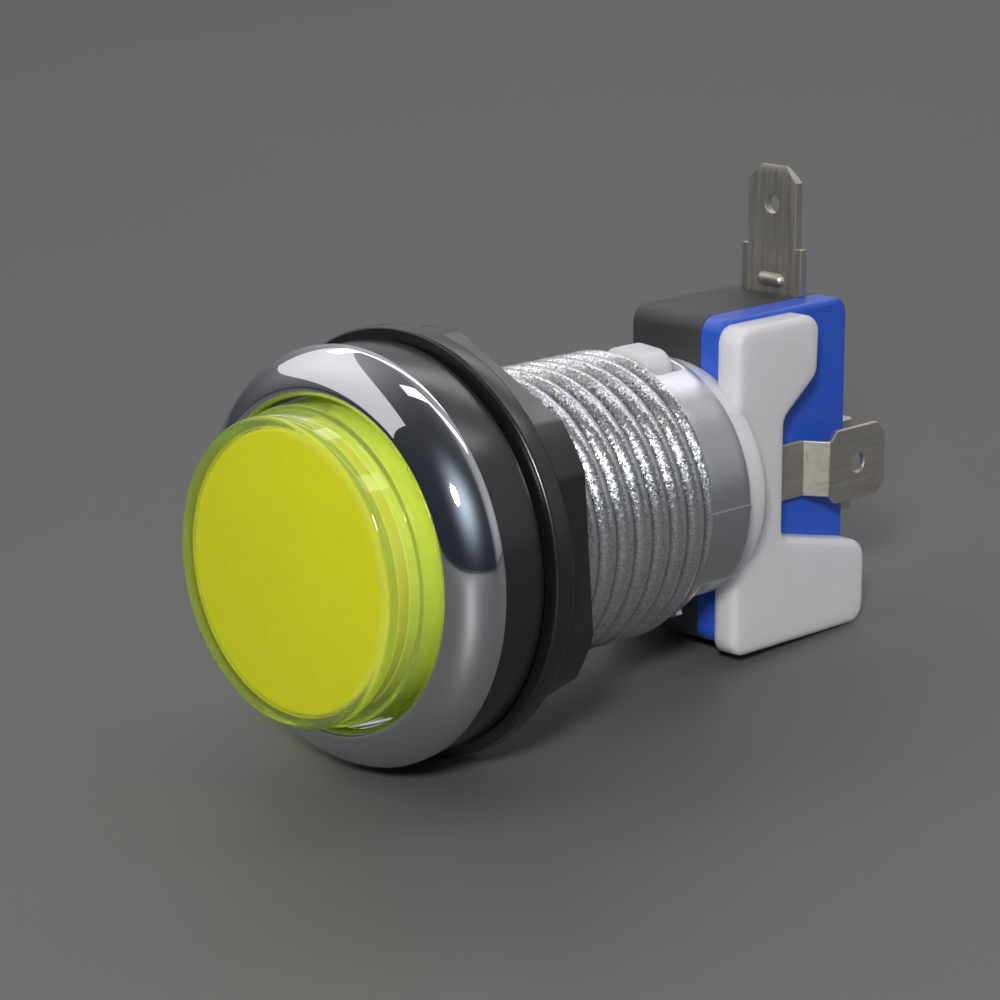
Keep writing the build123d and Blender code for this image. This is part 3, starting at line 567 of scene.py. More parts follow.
def filleted(corners):
    """Points of a profile through (radius, y, round) corners, each round drawn as an arc."""
    points = []
    last = len(corners) - 1
    for index, (radius, y, bend) in enumerate(corners):
        here = Vector((radius, y))
        if bend == 0 or index in (0, last):
            points.append(here)
            continue
        back = (Vector(corners[index - 1][:2]) - here).normalized()
        ahead = (Vector(corners[index + 1][:2]) - here).normalized()
        half = back.angle(ahead) / 2
        centre = here + (back + ahead).normalized() * (bend / sin(half))
        reach = bend * cos(half) / sin(half)
        first = here + back * reach - centre
        swing = first.angle_signed(here + ahead * reach - centre)
        for step in range(ROUND_STEPS + 1):
            points.append(centre + Matrix.Rotation(-swing * step / ROUND_STEPS, 2) @ first)
    return points


def tilted_arc(centre, radius, first, last):
    """Points of an arc between two slopes of its skin; 0 faces the front and 90 degrees faces outwards."""
    tilts = [first + (last - first) * step / ARC_STEPS for step in range(ARC_STEPS + 1)]
    return [Vector((centre[0] + radius * sin(tilt), centre[1] - radius * cos(tilt))) for tilt in tilts]


def rings_mesh(name, rings):
    """A mesh through rings of points, each ring joined to the next; a ring of one point is a pole."""
    work = bmesh.new()
    rows = [[work.verts.new(point) for point in ring] for ring in rings]
    for first, second in zip(rows, rows[1:]):
        count = max(len(first), len(second))
        for index in range(count):
            corners = [
                first[index % len(first)], first[(index + 1) % len(first)],
                second[(index + 1) % len(second)], second[index % len(second)]]
            distinct = list(dict.fromkeys(corners))
            if len(distinct) > 2:
                work.faces.new(distinct)
    return settled(name, work)


def settled(name, work):
    """Closes a bmesh's seams, points its faces outwards, smooths it and returns it as a mesh."""
    bmesh.ops.remove_doubles(work, verts=work.verts, dist=WELD)
    bmesh.ops.recalc_face_normals(work, faces=work.faces)
    mesh = bpy.data.meshes.new(name)
    work.to_mesh(mesh)
    work.free()
    mesh.shade_smooth()
    mesh.set_sharp_from_angle(angle=SMOOTH_ANGLE)
    return mesh


def turned_rings(profile, angles):
    """Rings about the Y axis through (radius, y) points; a point on the axis gives a pole."""
    rings = []
    for radius, y in profile:
        if radius < WELD:
            rings.append([Vector((0, y, 0))])
        else:
            rings.append([Vector((radius * sin(a), y, radius * cos(a))) for a in angles])
    return rings


def even_angles():
    """Angles spaced evenly round the axis."""
    return [tau * index / AROUND for index in range(AROUND)]


def turned(name, profile):
    """Surface of revolution about Y through a profile of (radius, y) points."""
    return rings_mesh(name, turned_rings(profile, even_angles()))


def joined(name, meshes):
    """One mesh of several, whose faces take the material that has their own mesh's number."""
    work = bmesh.new()
    for index, mesh in enumerate(meshes):
        before = len(work.faces)
        work.from_mesh(mesh)
        for face in list(work.faces)[before:]:
            face.material_index = index
    return settled(name, work)


def bezel_profile(shell, root, fine):
    """Points from the thread's root round the neck, brim, dome and lip, and back along the bore."""
    brim, bezel_rear = SHELL[1].x, RING[0].y
    lip, tilt = shell.lip_radius, shell.dome_tilt
    brim_front = bezel_rear - shell.brim_thickness
    lip_front = brim_front - shell.dome_height + shell.lip_round * cos(tilt)
    roll = tilted_arc((lip + shell.lip_round, lip_front), shell.lip_round, tilt, -pi / 2)
    span = Vector((brim, brim_front)) - roll[0]
    chord = atan2(span.y, span.x)
    dome_radius = span.length / (2 * sin(chord - tilt))
    dome_centre = (roll[0].x - dome_radius * sin(tilt), roll[0].y + dome_radius * cos(tilt))
    dome = tilted_arc(dome_centre, dome_radius, 2 * chord - tilt, tilt)
    neck = lip + shell.neck_wall
    back = filleted((
        (root, 0, 0),
        (neck, 0, fine),
        (neck, bezel_rear, fine),
        (brim, bezel_rear, fine),
        (brim, brim_front, 0),
    ))
    inside = filleted((
        (lip, lip_front, 0),
        (lip, shell.recess_floor, fine),
        (shell.bore_radius, shell.recess_floor, fine),
        (shell.bore_radius, shell.collar_front, fine),
        (shell.collar_radius, shell.collar_front, fine),
        (shell.collar_radius, shell.collar_rear, fine),
        (shell.bore_radius, shell.collar_rear, fine),
        (shell.bore_radius, shell.thread_end, 0),
    ))
    return back + dome[1:] + roll[1:] + inside[1:]


def slot_cells(shell, half_turn):
    """First columns and widths, in cells, of a slot's locked part and of its entry."""
    step = tau / AROUND
    locked = half_turn + shell.slot_turn
    start = round((locked - shell.lock_turn - shell.slot_half) / step)
    lock = round((locked + shell.slot_half) / step) - start
    entry = round((locked - shell.lock_turn + shell.slot_half) / step) - start
    return start, lock, entry


def slotted_tail(shell, root, rear, edge):
    """The barrel's plain tail: a wall with two bent slots, its edges rounded."""
    shoulder = shell.thread_end + shell.rib_width
    rows = [(root, shell.thread_end), (shell.tail_radius, shoulder), (shell.tail_radius, shell.slot_front),
            (shell.tail_radius, shell.slot_rear), (shell.tail_radius, rear)]
    lock_row, rim_row = 2, 3
    cut = set()
    for half_turn in (0, pi):
        start, lock, entry = slot_cells(shell, half_turn)
        cut.update((lock_row, (start + step) % AROUND) for step in range(lock))
        cut.update((rim_row, (start + step) % AROUND) for step in range(entry))
    work = bmesh.new()
    outer = [[work.verts.new(point) for point in ring] for ring in turned_rings(rows, even_angles())]
    bore_rows = [(shell.bore_radius, y) for _, y in rows]
    inner = [[work.verts.new(point) for point in ring] for ring in turned_rings(bore_rows, even_angles())]
    walls = []

    def solid(row, column):
        return row < len(rows) - 1 and (row, column % AROUND) not in cut

    def wall(first, second):
        (r0, c0), (r1, c1) = first, second
        walls.append(work.faces.new((outer[r0][c0], outer[r1][c1], inner[r1][c1], inner[r0][c0])))

    for row in range(len(rows) - 1):
        for column in range(AROUND):
            ahead = (column + 1) % AROUND
            if solid(row, column):
                for skin in (outer, inner):
                    here, after = skin[row], skin[row + 1]
                    work.faces.new((here[column], here[ahead], after[ahead], after[column]))
            if solid(row, column) != solid(row, column - 1):
                wall((row, column), (row + 1, column))
            if solid(row, column) != solid(row + 1, column):
                wall((row + 1, column), (row + 1, ahead))
    bmesh.ops.recalc_face_normals(work, faces=work.faces)
    corners = {line for face in walls for line in face.edges if line.calc_face_angle(0) > SQUARE_ANGLE}
    bmesh.ops.bevel(
        work, geom=list(corners), offset=edge, segments=EDGE_STEPS, profile=0.5, affect="EDGES",
        clamp_overlap=True)
    mesh = bpy.data.meshes.new("tail")
    work.to_mesh(mesh)
    work.free()
    return mesh


def nut_angles(nut):
    """Angles round the nut, spaced evenly along each flat and along each turned corner."""
    half_flat = acos(nut.flat_radius / nut.corner_radius)
    corner = SIDE_TURN - 2 * half_flat
    angles = []
    for side in range(HEX_SIDES):
        middle = side * SIDE_TURN + nut.turned
        angles += [middle + half_flat * (2 * step / FLAT_STEPS - 1) for step in range(FLAT_STEPS)]
        angles += [middle + half_flat + corner * step / CORNER_STEPS for step in range(CORNER_STEPS)]
    return angles


def hexagon_ring(nut, angles, y, inset):
    """Ring of the nut's hexagon at one place along the axis, moved in towards the axis."""
    ring = []
    for index, angle in enumerate(angles):
        middle = index // (FLAT_STEPS + CORNER_STEPS) * SIDE_TURN + nut.turned
        reach = min(nut.flat_radius / cos(angle - middle), nut.corner_radius) - inset
        ring.append(Vector((reach * sin(angle), y, reach * cos(angle))))
    return ring


def new_piece(name, mesh, materials, body, slot, *nodes):
    """An object for a mesh that rides on a body and stands for CAD nodes."""
    piece = bpy.data.objects.new(name, mesh)
    bpy.context.scene.collection.objects.link(piece)
    if mesh.materials:
        mesh.materials.clear()
    for material in materials:
        mesh.materials.append(material)
    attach(piece, body)
    if nodes:
        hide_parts(*nodes)
    return piece


def evaluated_mesh(name, kind, values, inputs=None, mesh=None):
    """The mesh that an object with one modifier gives, with the modifier's values and inputs set."""
    holder = bpy.data.objects.new(name, mesh or bpy.data.meshes.new(name))
    bpy.context.scene.collection.objects.link(holder)
    made = holder.modifiers.new(kind, kind)
    for key, value in values.items():
        setattr(made, key, value)
    for key, value in (inputs or {}).items():
        made[key] = value
    depsgraph = bpy.context.evaluated_depsgraph_get()
    result = bpy.data.meshes.new_from_object(holder.evaluated_get(depsgraph))
    bpy.data.objects.remove(holder)
    return result


def clean_copy(node, edge):
    """A CAD node's mesh with its flat faces joined, its edges rounded and its curves smooth."""
    work = bmesh.new()
    work.from_mesh(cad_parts[node].data)
    bmesh.ops.remove_doubles(work, verts=work.verts, dist=COPY_WELD)
    bmesh.ops.dissolve_limit(work, angle_limit=FLAT_ANGLE, verts=work.verts, edges=work.edges)
    rounded = evaluated_mesh(node + "_round", "BEVEL", {
        "width": edge, "segments": EDGE_STEPS, "limit_method": "ANGLE", "angle_limit": EDGE_ANGLE,
        "use_clamp_overlap": True, "miter_outer": "MITER_ARC"}, mesh=settled(node + "_copy", work))
    rounded.shade_smooth()
    rounded.set_sharp_from_angle(angle=CURVE_ANGLE)
    level = {"weight": LEVEL_WEIGHT, "keep_sharp": True}
    return evaluated_mesh(node + "_level", "WEIGHTED_NORMAL", level, mesh=rounded)


def copied_piece(name, node, edge, material, body, slot):
    """A piece that is a clean copy of one CAD node and stands for it."""
    return new_piece(name, clean_copy(node, edge), [material], body, slot, node)


def paint(node, material):
    """Gives a CAD node that stays as it is a better material."""
    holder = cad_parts[node]
    for slot in holder.material_slots:
        slot.material = material


def closed_with(tree, geometry, material, end):
    """Ends a Geometry Nodes tree in Realize Instances and Set Material."""
    plain = add_node(tree, "GeometryNodeRealizeInstances", {"Geometry": geometry})
    painted = add_node(tree, "GeometryNodeSetMaterial", {"Geometry": plain.outputs[0], "Material": material})
    feed(tree, end, {"Geometry": painted.outputs[0]})


def tree_mesh(name, tree, values):
    """The mesh of a Geometry Nodes tree with its named inputs set."""
    sockets = {item.name: item.identifier for item in tree.interface.items_tree if item.in_out == "INPUT"}
    inputs = {sockets[label]: value for label, value in values.items()}
    return evaluated_mesh(name, "NODES", {"node_group": tree}, inputs)


def geometry_tree(name, kinds):
    """An empty Geometry Nodes tree with named inputs, a material and one geometry output."""
    inputs = {**kinds, "Material": ("Material",)}
    return node_group(name, "GeometryNodeTree", inputs, {"Geometry": ("Geometry",)})


def placed(tree, **axes):
    """Vector made of values along named axes."""
    return add_node(tree, "ShaderNodeCombineXYZ", axes).outputs[0]


def thread_tree():
    """Surface of a rounded thread: a grid rolled about Y whose radius rises and falls along a helix."""
    tree, value, end = geometry_tree("Thread surface", {
        "Float": ("Root Radius", "Height", "Pitch", "Start", "End", "Fade", "Lean"),
        "Int": ("Around", "Along")})
    grid = add_node(tree, "GeometryNodeMeshGrid", {
        "Size X": 1.0, "Size Y": 1.0, "Vertices X": compute(tree, "ADD", value["Around"], 1.0),
        "Vertices Y": value["Along"]})
    position = tree.nodes.new("GeometryNodeInputPosition").outputs[0]
    place = add_node(tree, "ShaderNodeSeparateXYZ", {"Vector": position})
    round_share = compute(tree, "ADD", place.outputs["X"], 0.5)
    along_share = compute(tree, "ADD", place.outputs["Y"], 0.5)
    angle = compute(tree, "MULTIPLY", round_share, tau)
    span = compute(tree, "SUBTRACT", value["End"], value["Start"])
    along = compute(tree, "MULTIPLY", along_share, span)
    phase = compute(tree, "SUBTRACT", compute(tree, "DIVIDE", along, value["Pitch"]), round_share)
    lean = compute(tree, "POWER", compute(tree, "FRACT", phase), value["Lean"])
    ripple = compute(tree, "SUBTRACT", compute(tree, "MULTIPLY", lean, 2.0), 1.0)
    valley = compute(tree, "POWER", compute(tree, "ABSOLUTE", ripple), VALLEY_POWER)
    crest = compute(tree, "SUBTRACT", 1.0, valley)
    run_in = compute(tree, "DIVIDE", along, value["Fade"], clamp=True)
    run_out = compute(tree, "DIVIDE", compute(tree, "SUBTRACT", span, along), value["Fade"], clamp=True)
    faded = compute(tree, "MULTIPLY", compute(tree, "MULTIPLY", run_in, run_out), crest)
    radius = compute(tree, "MULTIPLY_ADD", faded, value["Height"], value["Root Radius"])
    rolled = placed(
        tree, X=compute(tree, "MULTIPLY", radius, compute(tree, "SINE", angle)),
        Y=compute(tree, "ADD", along, value["Start"]),
        Z=compute(tree, "MULTIPLY", radius, compute(tree, "COSINE", angle)))
    moved = add_node(tree, "GeometryNodeSetPosition", {"Geometry": grid.outputs["Mesh"], "Position": rolled})
    sealed = add_node(tree, "GeometryNodeMergeByDistance", {"Geometry": moved.outputs[0], "Distance": WELD})
    closed_with(tree, sealed.outputs[0], value["Material"], end)
    return tree


def coil_tree():
    """Round wire wound about Y."""
    tree, value, end = geometry_tree("Wound wire", {"Float": ("Radius", "Wire", "Turns", "Start", "Height")})
    spiral = add_node(tree, "GeometryNodeCurveSpiral", {
        "Resolution": TURN_STEPS, "Rotations": value["Turns"], "Start Radius": value["Radius"],
        "End Radius": value["Radius"], "Height": value["Height"]})
    laid = add_node(tree, "GeometryNodeTransform", {
        "Geometry": spiral.outputs[0], "Translation": placed(tree, Y=value["Start"]),
        "Rotation": (-pi / 2, 0, 0)})
    ring = add_node(tree, "GeometryNodeCurvePrimitiveCircle", {
        "Resolution": WIRE_STEPS, "Radius": value["Wire"]})
    wire = add_node(tree, "GeometryNodeCurveToMesh", {
        "Curve": laid.outputs[0], "Profile Curve": ring.outputs[0], "Fill Caps": True})
    smooth = add_node(tree, "GeometryNodeSetShadeSmooth", {"Geometry": wire.outputs[0]})
    closed_with(tree, smooth.outputs[0], value["Material"], end)
    return tree


def rib_tree():
    """Narrow bars on opposite sides of the tail."""
    tree, value, end = geometry_tree("Tail ribs", {
        "Float": ("Radius", "Width", "Height", "Start", "End"), "Int": ("Count",)})
    run = compute(tree, "SUBTRACT", value["End"], value["Start"])
    middle = compute(tree, "MULTIPLY", compute(tree, "ADD", value["End"], value["Start"]), 0.5)
    size = placed(tree, X=compute(tree, "MULTIPLY", value["Height"], 2.0), Y=run, Z=value["Width"])
    bar = add_node(tree, "GeometryNodeMeshCube", {
        "Size": size, "Vertices X": 2, "Vertices Y": 24, "Vertices Z": 5})
    out = add_node(tree, "GeometryNodeTransform", {
        "Geometry": bar.outputs[0], "Translation": placed(tree, X=value["Radius"], Y=middle)})
    points = add_node(tree, "GeometryNodePoints", {"Count": value["Count"]})
    number = tree.nodes.new("GeometryNodeInputIndex").outputs[0]
    swing = compute(tree, "DIVIDE", compute(tree, "MULTIPLY", number, tau), value["Count"])
    spread = add_node(tree, "GeometryNodeInstanceOnPoints", {
        "Points": points.outputs[0], "Instance": out.outputs[0], "Rotation": placed(tree, Y=swing)})
    closed_with(tree, spread.outputs[0], value["Material"], end)
    return tree


# Pieces


def settings(context):
    """The push button's settings."""
    return context.scene.push_button


class PUSHBUTTON_OT_cap(bpy.types.Operator):
    """Makes the clear lens cap and the milky diffuser under it"""

    bl_idname = "push_button.cap"
    bl_label = "Lens cap and diffuser"

    def execute(self, context):
        cap = settings(context).cap
        low, high = LENS
        skirt = high.x
        side = skirt - cap.step_width
        inner = side - cap.wall
        front, rear = low.y, high.y
        step = front + cap.step_depth
        profile = filleted((
            (0, front, 0),
            (side, front, cap.edge),
            (side, step, cap.fine_edge),
            (skirt, step, cap.fine_edge),
            (skirt, rear, cap.fine_edge),
            (inner, rear, cap.fine_edge),
            (inner, front + cap.face, cap.fine_edge),
            (0, front + cap.face, 0),
        ))
        new_piece("lens", turned("lens", profile), [cap_material(cap)], "button", "lens", "lens_cap")
        disc_low, disc_high = DIFFUSER
        disc = filleted((
            (0, disc_low.y, 0),
            (disc_high.x, disc_low.y, cap.disc_edge),
            (disc_high.x, disc_high.y, cap.fine_edge),
            (0, disc_high.y, 0),
        ))
        milk = plastic(
            "diffuser_milk", cap.milk, rough=0.45, grain=1800.0, depth=0.000003, uneven=0.02, flesh=0.25)
        new_piece("milk_disc", turned("milk_disc", disc), [milk], "button", "diffuser", "diffuser")
        return {"FINISHED"}


class PUSHBUTTON_OT_shell(bpy.types.Operator):
    """Makes the chrome bezel and the threaded barrel as one closed moulding"""

    bl_idname = "push_button.shell"
    bl_label = "Bezel and barrel"

    def execute(self, context):
        shell = settings(context).shell
        rear = SHELL[1].y
        root = shell.thread_radius - shell.thread_depth
        fine = shell.rib_height
        bezel = turned("bezel_barrel_skin", bezel_profile(shell, root, fine))
        chrome, plated, satin = chrome_material(shell), thread_material(shell), tail_material(shell)
        threads = tree_mesh("thread", thread_tree(), {
            "Root Radius": root, "Height": shell.thread_depth, "Pitch": shell.thread_pitch, "Start": 0.0,
            "End": shell.thread_end, "Fade": shell.thread_fade, "Lean": shell.thread_lean, "Around": AROUND,
            "Along": THREAD_ROWS, "Material": plated})
        mesh = joined("bezel_barrel_skin", (bezel, threads, slotted_tail(shell, root, rear, fine)))
        new_piece("bezel_barrel_skin", mesh, [chrome, plated, satin], "housing", "chrome", "bezel_barrel")
        ribs = tree_mesh("tail_ribs", rib_tree(), {
            "Radius": shell.tail_radius, "Width": shell.rib_width, "Height": shell.rib_height,
            "Start": shell.thread_end, "End": rear - fine, "Count": 2, "Material": satin})
        new_piece("tail_ribs", ribs, [satin], "housing", "chrome")
        return {"FINISHED"}


class PUSHBUTTON_OT_ring(bpy.types.Operator):
    """Makes the black spacer ring behind the bezel"""

    bl_idname = "push_button.ring"
    bl_label = "Spacer ring"

    def execute(self, context):
        nut = settings(context).nut
        low, high = RING
        bore = nut.ring_bore
        middle = (low.y + high.y) / 2
        profile = filleted((
            (bore, middle, 0),
            (bore, low.y, nut.ring_edge / 2),
            (high.x, low.y, nut.ring_edge / 2),
            (high.x, high.y, nut.ring_edge),
            (bore, high.y, nut.ring_edge / 2),
            (bore, middle, 0),
        ))
        black = plastic("ring_black", settings(context).finish.black_ring, rough=0.24, dust=0.10, shine=1.0)
        mesh = turned("black_spacer", profile)
        new_piece("black_spacer", mesh, [black], "housing", "black_ring", "spacer_ring")
        return {"FINISHED"}


class PUSHBUTTON_OT_nut(bpy.types.Operator):
    """Makes the black nut: a round flange, and a hexagon whose corners are turned off"""

    bl_idname = "push_button.nut"
    bl_label = "Flange nut"

    def execute(self, context):
        nut = settings(context).nut
        low, high = NUT
        angles = nut_angles(nut)
        flange_rear = low.y + nut.flange
        front = turned_rings(filleted((
            (nut.bore, flange_rear, 0),
            (nut.bore, low.y, nut.edge / 2),
            (high.x, low.y, nut.edge),
            (high.x, flange_rear, nut.edge),
            (nut.corner_radius, flange_rear, 0),
        )), angles)
        soft = nut.edge / 3
        rear = [
            hexagon_ring(nut, angles, flange_rear, 0),
            hexagon_ring(nut, angles, high.y - nut.edge, 0),
            hexagon_ring(nut, angles, high.y - soft, nut.edge - soft),
            hexagon_ring(nut, angles, high.y, nut.edge),
        ]
        bore = turned_rings(((nut.bore, high.y), (nut.bore, flange_rear)), angles)
        black = plastic("nut_black", settings(context).finish.black_nut, rough=0.28, dust=0.08, shine=1.0)
        mesh = rings_mesh("black_nut", front + rear + bore)
        new_piece("black_nut", mesh, [black], "nut", "black_nut", "flange_nut")
        return {"FINISHED"}


class PUSHBUTTON_OT_carrier(bpy.types.Operator):
    """Makes the plunger that carries the cap, and the coil spring under it"""

    bl_idname = "push_button.carrier"
    bl_label = "Plunger and spring"

    def execute(self, context):
        finish = settings(context).finish
        white = plastic("plunger_white", finish.carrier, rough=0.42, uneven=0.03, flesh=0.15)
        copied_piece("plunger_body", "plunger", CASE_EDGE, white, "button", "white_plastic")
        low, high = SPRING
        tall = high.y - low.y
        steel = metal("spring_steel", finish.steel, finish.tarnish, rough=0.25, stretch=EVEN_MARKS)
        coil = tree_mesh("coil", coil_tree(), {
            "Radius": high.x - WIRE_RADIUS, "Wire": WIRE_RADIUS, "Turns": WIRE_TURNS,
            "Start": low.y + WIRE_RADIUS, "Height": tall - 2 * WIRE_RADIUS, "Material": steel})
        piece = new_piece("coil", coil, [steel], "housing", "spring_steel", "return_spring")
        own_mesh(piece)
        return {"FINISHED"}


class PUSHBUTTON_OT_holder(bpy.types.Operator):
    """Makes the white nylon lamp holder with its side plates"""

    bl_idname = "push_button.holder"
    bl_label = "Lamp holder"

    def execute(self, context):
        finish = settings(context).finish
        nylon = plastic("nylon_white", finish.nylon, rough=0.40, grain=2600.0, uneven=0.03, flesh=0.9)
        copied_piece("nylon_holder", "lamp_holder", NYLON_EDGE, nylon, "housing", "white_nylon")
        return {"FINISHED"}


class PUSHBUTTON_OT_lamp(bpy.types.Operator):
    """Finishes the lamp inside the barrel"""

    bl_idname = "push_button.lamp"
    bl_label = "Lamp"

    def execute(self, context):
        finish = settings(context).finish
        paint("lamp_base", plastic("lamp_base_grey", finish.lamp_grey, rough=0.4, uneven=0.05))
        paint("lamp_dome", glass_material("lamp_glass", finish.lamp_glass))
        wire = metal("lead_wire", finish.steel, finish.tarnish, rough=0.3, stretch=(1.0, 0.1, 1.0))
        paint("lamp_leads", wire)
        return {"FINISHED"}


class PUSHBUTTON_OT_terminals(bpy.types.Operator):
    """Makes the nickel-plated lamp contacts and switch terminals"""

    bl_idname = "push_button.terminals"
    bl_label = "Terminals"

    def execute(self, context):
        finish = settings(context).finish
        along = metal("nickel_along", finish.nickel, finish.tarnish, rough=0.50, stretch=AXIS_MARKS)
        upright = metal("nickel_upright", finish.nickel, finish.tarnish, rough=0.48, stretch=UPRIGHT_MARKS)
        for node in ("lamp_contact_near", "lamp_contact_far", "open_terminal", "closed_terminal"):
            copied_piece(node + "_tab", node, TAB_EDGE, along, "housing", "nickel_tab")
        copied_piece("common_tab", "common_terminal", TAB_EDGE, upright, "housing", "nickel_tab")
        return {"FINISHED"}


class PUSHBUTTON_OT_switch(bpy.types.Operator):
    """Makes the two halves of the switch case and finishes the works inside"""

    bl_idname = "push_button.switch"
    bl_label = "Microswitch"

    def execute(self, context):
        finish = settings(context).finish
        black = plastic(
            "case_black", finish.switch_black, rough=0.50, grain=3000.0, depth=0.000012, shine=0.8)
        blue = plastic(
            "case_blue", finish.switch_blue, rough=0.36, grain=3000.0, depth=0.000008, uneven=0.06, shine=0.8)
        copied_piece("case_base", "switch_base", CASE_EDGE, black, "housing", "switch_black")
        copied_piece("case_cover", "switch_cover", CASE_EDGE, blue, "housing", "switch_blue")
        paint("switch_pin", plastic("pin_plastic", finish.pin_red, rough=0.35, uneven=0.05))
        copper = metal("blade_copper", finish.copper, finish.tarnish, rough=0.24, stretch=UPRIGHT_MARKS)
        paint("snap_blade", copper)
        silver = metal("contact_silver", finish.silver, finish.tarnish, rough=0.2, stretch=EVEN_MARKS)
        paint("moving_contact", silver)
        paint("fixed_contacts", silver)
        return {"FINISHED"}


# Stage


def floor_material(stage):
    """Satin grey sheet with a very slight mottle."""
    material, tree, shader, _, place = new_material("grey_floor")
    mottle = noise(tree, place, 40.0, 4.0)
    feed(tree, shader, {
        "Base Color": blend(tree, mottle, opaque(stage.floor, 0.97), opaque(stage.floor)),
        "Roughness": 0.48,
        "Specular IOR Level": 0.24})
    return material


def add_floor(stage):
    """A plain floor under the nut's flange and the plates' feet."""
    nut_low, nut_high = NUT
    foot_low, foot_high = HOLDER
    front = Vector(((nut_low.y + nut_high.y) / 2, nut_low.z))
    rear = Vector((foot_high.y, foot_low.z))
    slope = (rear.y - front.y) / (rear.x - front.x)
    reach = stage.floor_reach
    corners = ((-reach, -reach), (reach, -reach), (reach, reach), (-reach, reach))
    points = [(x, y, front.y + slope * (y - front.x)) for x, y in corners]
    mesh = bpy.data.meshes.new("floor")
    mesh.from_pydata(points, [], [(0, 1, 2, 3)])
    floor = bpy.data.objects.new("floor", mesh)
    bpy.context.scene.collection.objects.link(floor)
    mesh.materials.append(floor_material(stage))


def toward(azimuth, elevation):
    """Direction to an azimuth from the cap's side and an elevation, both in degrees."""
    around, up = radians(azimuth), radians(elevation)
    return Vector((sin(around) * cos(up), -cos(around) * cos(up), sin(up)))


def soft_box(name, place, size, power, rgb, shape):
    """An area light that looks at the object."""
    lamp = bpy.data.lights.new(name, "AREA")
    lamp.shape = shape
    lamp.size, lamp.size_y = size
    lamp.energy = power
    lamp.color = rgb
    box = bpy.data.objects.new(name, lamp)
    box.location = place
    aim = Vector(LIGHT_AIM) - place
    box.rotation_euler = aim.to_track_quat("-Z", "Y").to_euler()
    bpy.context.scene.collection.objects.link(box)


def add_lights(stage):
    """A round lamp beside the camera, a panel on the left, two strips over the back and a soft room."""
    for name, power, azimuth, elevation, distance, size, rgb, shape in LIGHTS:
        soft_box(name, toward(azimuth, elevation) * distance, size, getattr(stage, power), rgb, shape)
    world = bpy.data.worlds.new("soft_room")
    world.use_nodes = True
    tree = world.node_tree
    tree.nodes.clear()
    direction = tree.nodes.new("ShaderNodeTexCoord").outputs["Generated"]
    height = add_node(tree, "ShaderNodeSeparateXYZ", {"Vector": direction}).outputs["Z"]
    rise = remap(tree, height, 0.0, 0.9, 0.0, 1.0)
    tone = blend(tree, rise, opaque(stage.room_low), opaque(stage.room_high))
    for azimuth, elevation, tightness, rgb in ROOM_GLOWS:
        tone = shared(tree, "Room glow", {
            "Below": tone, "Glow": (*rgb, 1.0), "Direction": direction, "Toward": toward(azimuth, elevation),
            "Tightness": tightness})["Color"]
    back = add_node(tree, "ShaderNodeBackground", {"Color": tone, "Strength": stage.room})
    add_node(tree, "ShaderNodeOutputWorld", {"Surface": back.outputs[0]})
    bpy.context.scene.world = world


def add_camera(stage):
    """The camera at the photograph's angle."""
    azimuth, elevation = stage.azimuth, stage.elevation
    back = Vector((sin(azimuth) * cos(elevation), -cos(azimuth) * cos(elevation), sin(elevation)))
    data = bpy.data.cameras.new("camera")
    data.lens = stage.focal
    data.sensor_width = SENSOR_WIDTH
    data.clip_start = NEAR_CLIP
    data.clip_end = FAR_CLIP
    camera = bpy.data.objects.new("camera", data)
    camera.location = Vector(stage.target) + back * stage.distance
    facing = (-back).to_track_quat("-Z", "Y").to_matrix().to_4x4()
    camera.rotation_euler = (facing @ Matrix.Rotation(stage.roll, 4, "Z")).to_euler()
    bpy.context.scene.collection.objects.link(camera)
    bpy.context.scene.camera = camera


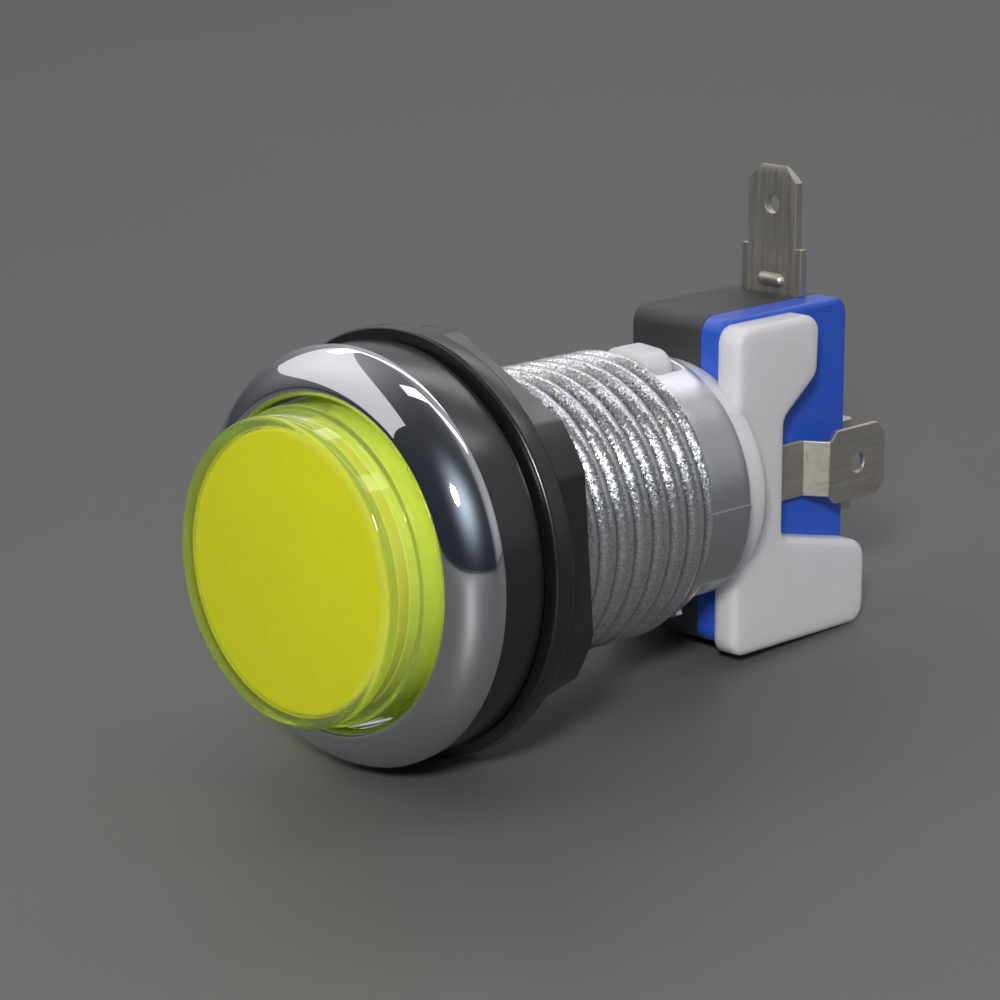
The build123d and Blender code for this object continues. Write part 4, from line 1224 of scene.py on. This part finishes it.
class PUSHBUTTON_OT_stage(bpy.types.Operator):
    """Sets the grey floor, the soft lights and the camera"""

    bl_idname = "push_button.stage"
    bl_label = "Stage"

    def execute(self, context):
        stage = settings(context).stage
        add_floor(stage)
        add_lights(stage)
        add_camera(stage)
        context.scene.view_settings.view_transform = "Standard"
        return {"FINISHED"}


# Sidebar and registration


class PUSHBUTTON_PT_side(bpy.types.Panel):
    """Lists the pieces of the push button and their settings"""

    bl_label = "Push button"
    bl_idname = "PUSHBUTTON_PT_side"
    bl_space_type = "VIEW_3D"
    bl_region_type = "UI"
    bl_category = "Push button"

    def draw(self, context):
        for piece in OPERATORS:
            self.layout.operator(piece.bl_idname)
        for group in ("cap", "shell", "nut", "finish", "stage"):
            values = getattr(settings(context), group)
            box = self.layout.box()
            box.label(text=group.capitalize())
            for key in values.__annotations__:
                box.prop(values, key)


OPERATORS = (
    PUSHBUTTON_OT_cap,
    PUSHBUTTON_OT_shell,
    PUSHBUTTON_OT_ring,
    PUSHBUTTON_OT_nut,
    PUSHBUTTON_OT_carrier,
    PUSHBUTTON_OT_holder,
    PUSHBUTTON_OT_lamp,
    PUSHBUTTON_OT_terminals,
    PUSHBUTTON_OT_switch,
    PUSHBUTTON_OT_stage,
)
CLASSES = (
    PUSHBUTTON_PG_cap,
    PUSHBUTTON_PG_shell,
    PUSHBUTTON_PG_nut,
    PUSHBUTTON_PG_finish,
    PUSHBUTTON_PG_stage,
    PUSHBUTTON_PG_all,
    *OPERATORS,
    PUSHBUTTON_PT_side,
)


def register():
    """Registers the classes and the scene's settings."""
    for item in CLASSES:
        bpy.utils.register_class(item)
    bpy.types.Scene.push_button = PointerProperty(type=PUSHBUTTON_PG_all)


def unregister():
    """Takes the settings and classes away again."""
    del bpy.types.Scene.push_button
    for item in reversed(CLASSES):
        bpy.utils.unregister_class(item)


def main():
    """Makes every piece and the stage."""
    register()
    bpy.ops.push_button.cap()
    bpy.ops.push_button.shell()
    bpy.ops.push_button.ring()
    bpy.ops.push_button.nut()
    bpy.ops.push_button.carrier()
    bpy.ops.push_button.holder()
    bpy.ops.push_button.lamp()
    bpy.ops.push_button.terminals()
    bpy.ops.push_button.switch()
    bpy.ops.push_button.stage()


if __name__ == "__main__":
    main()
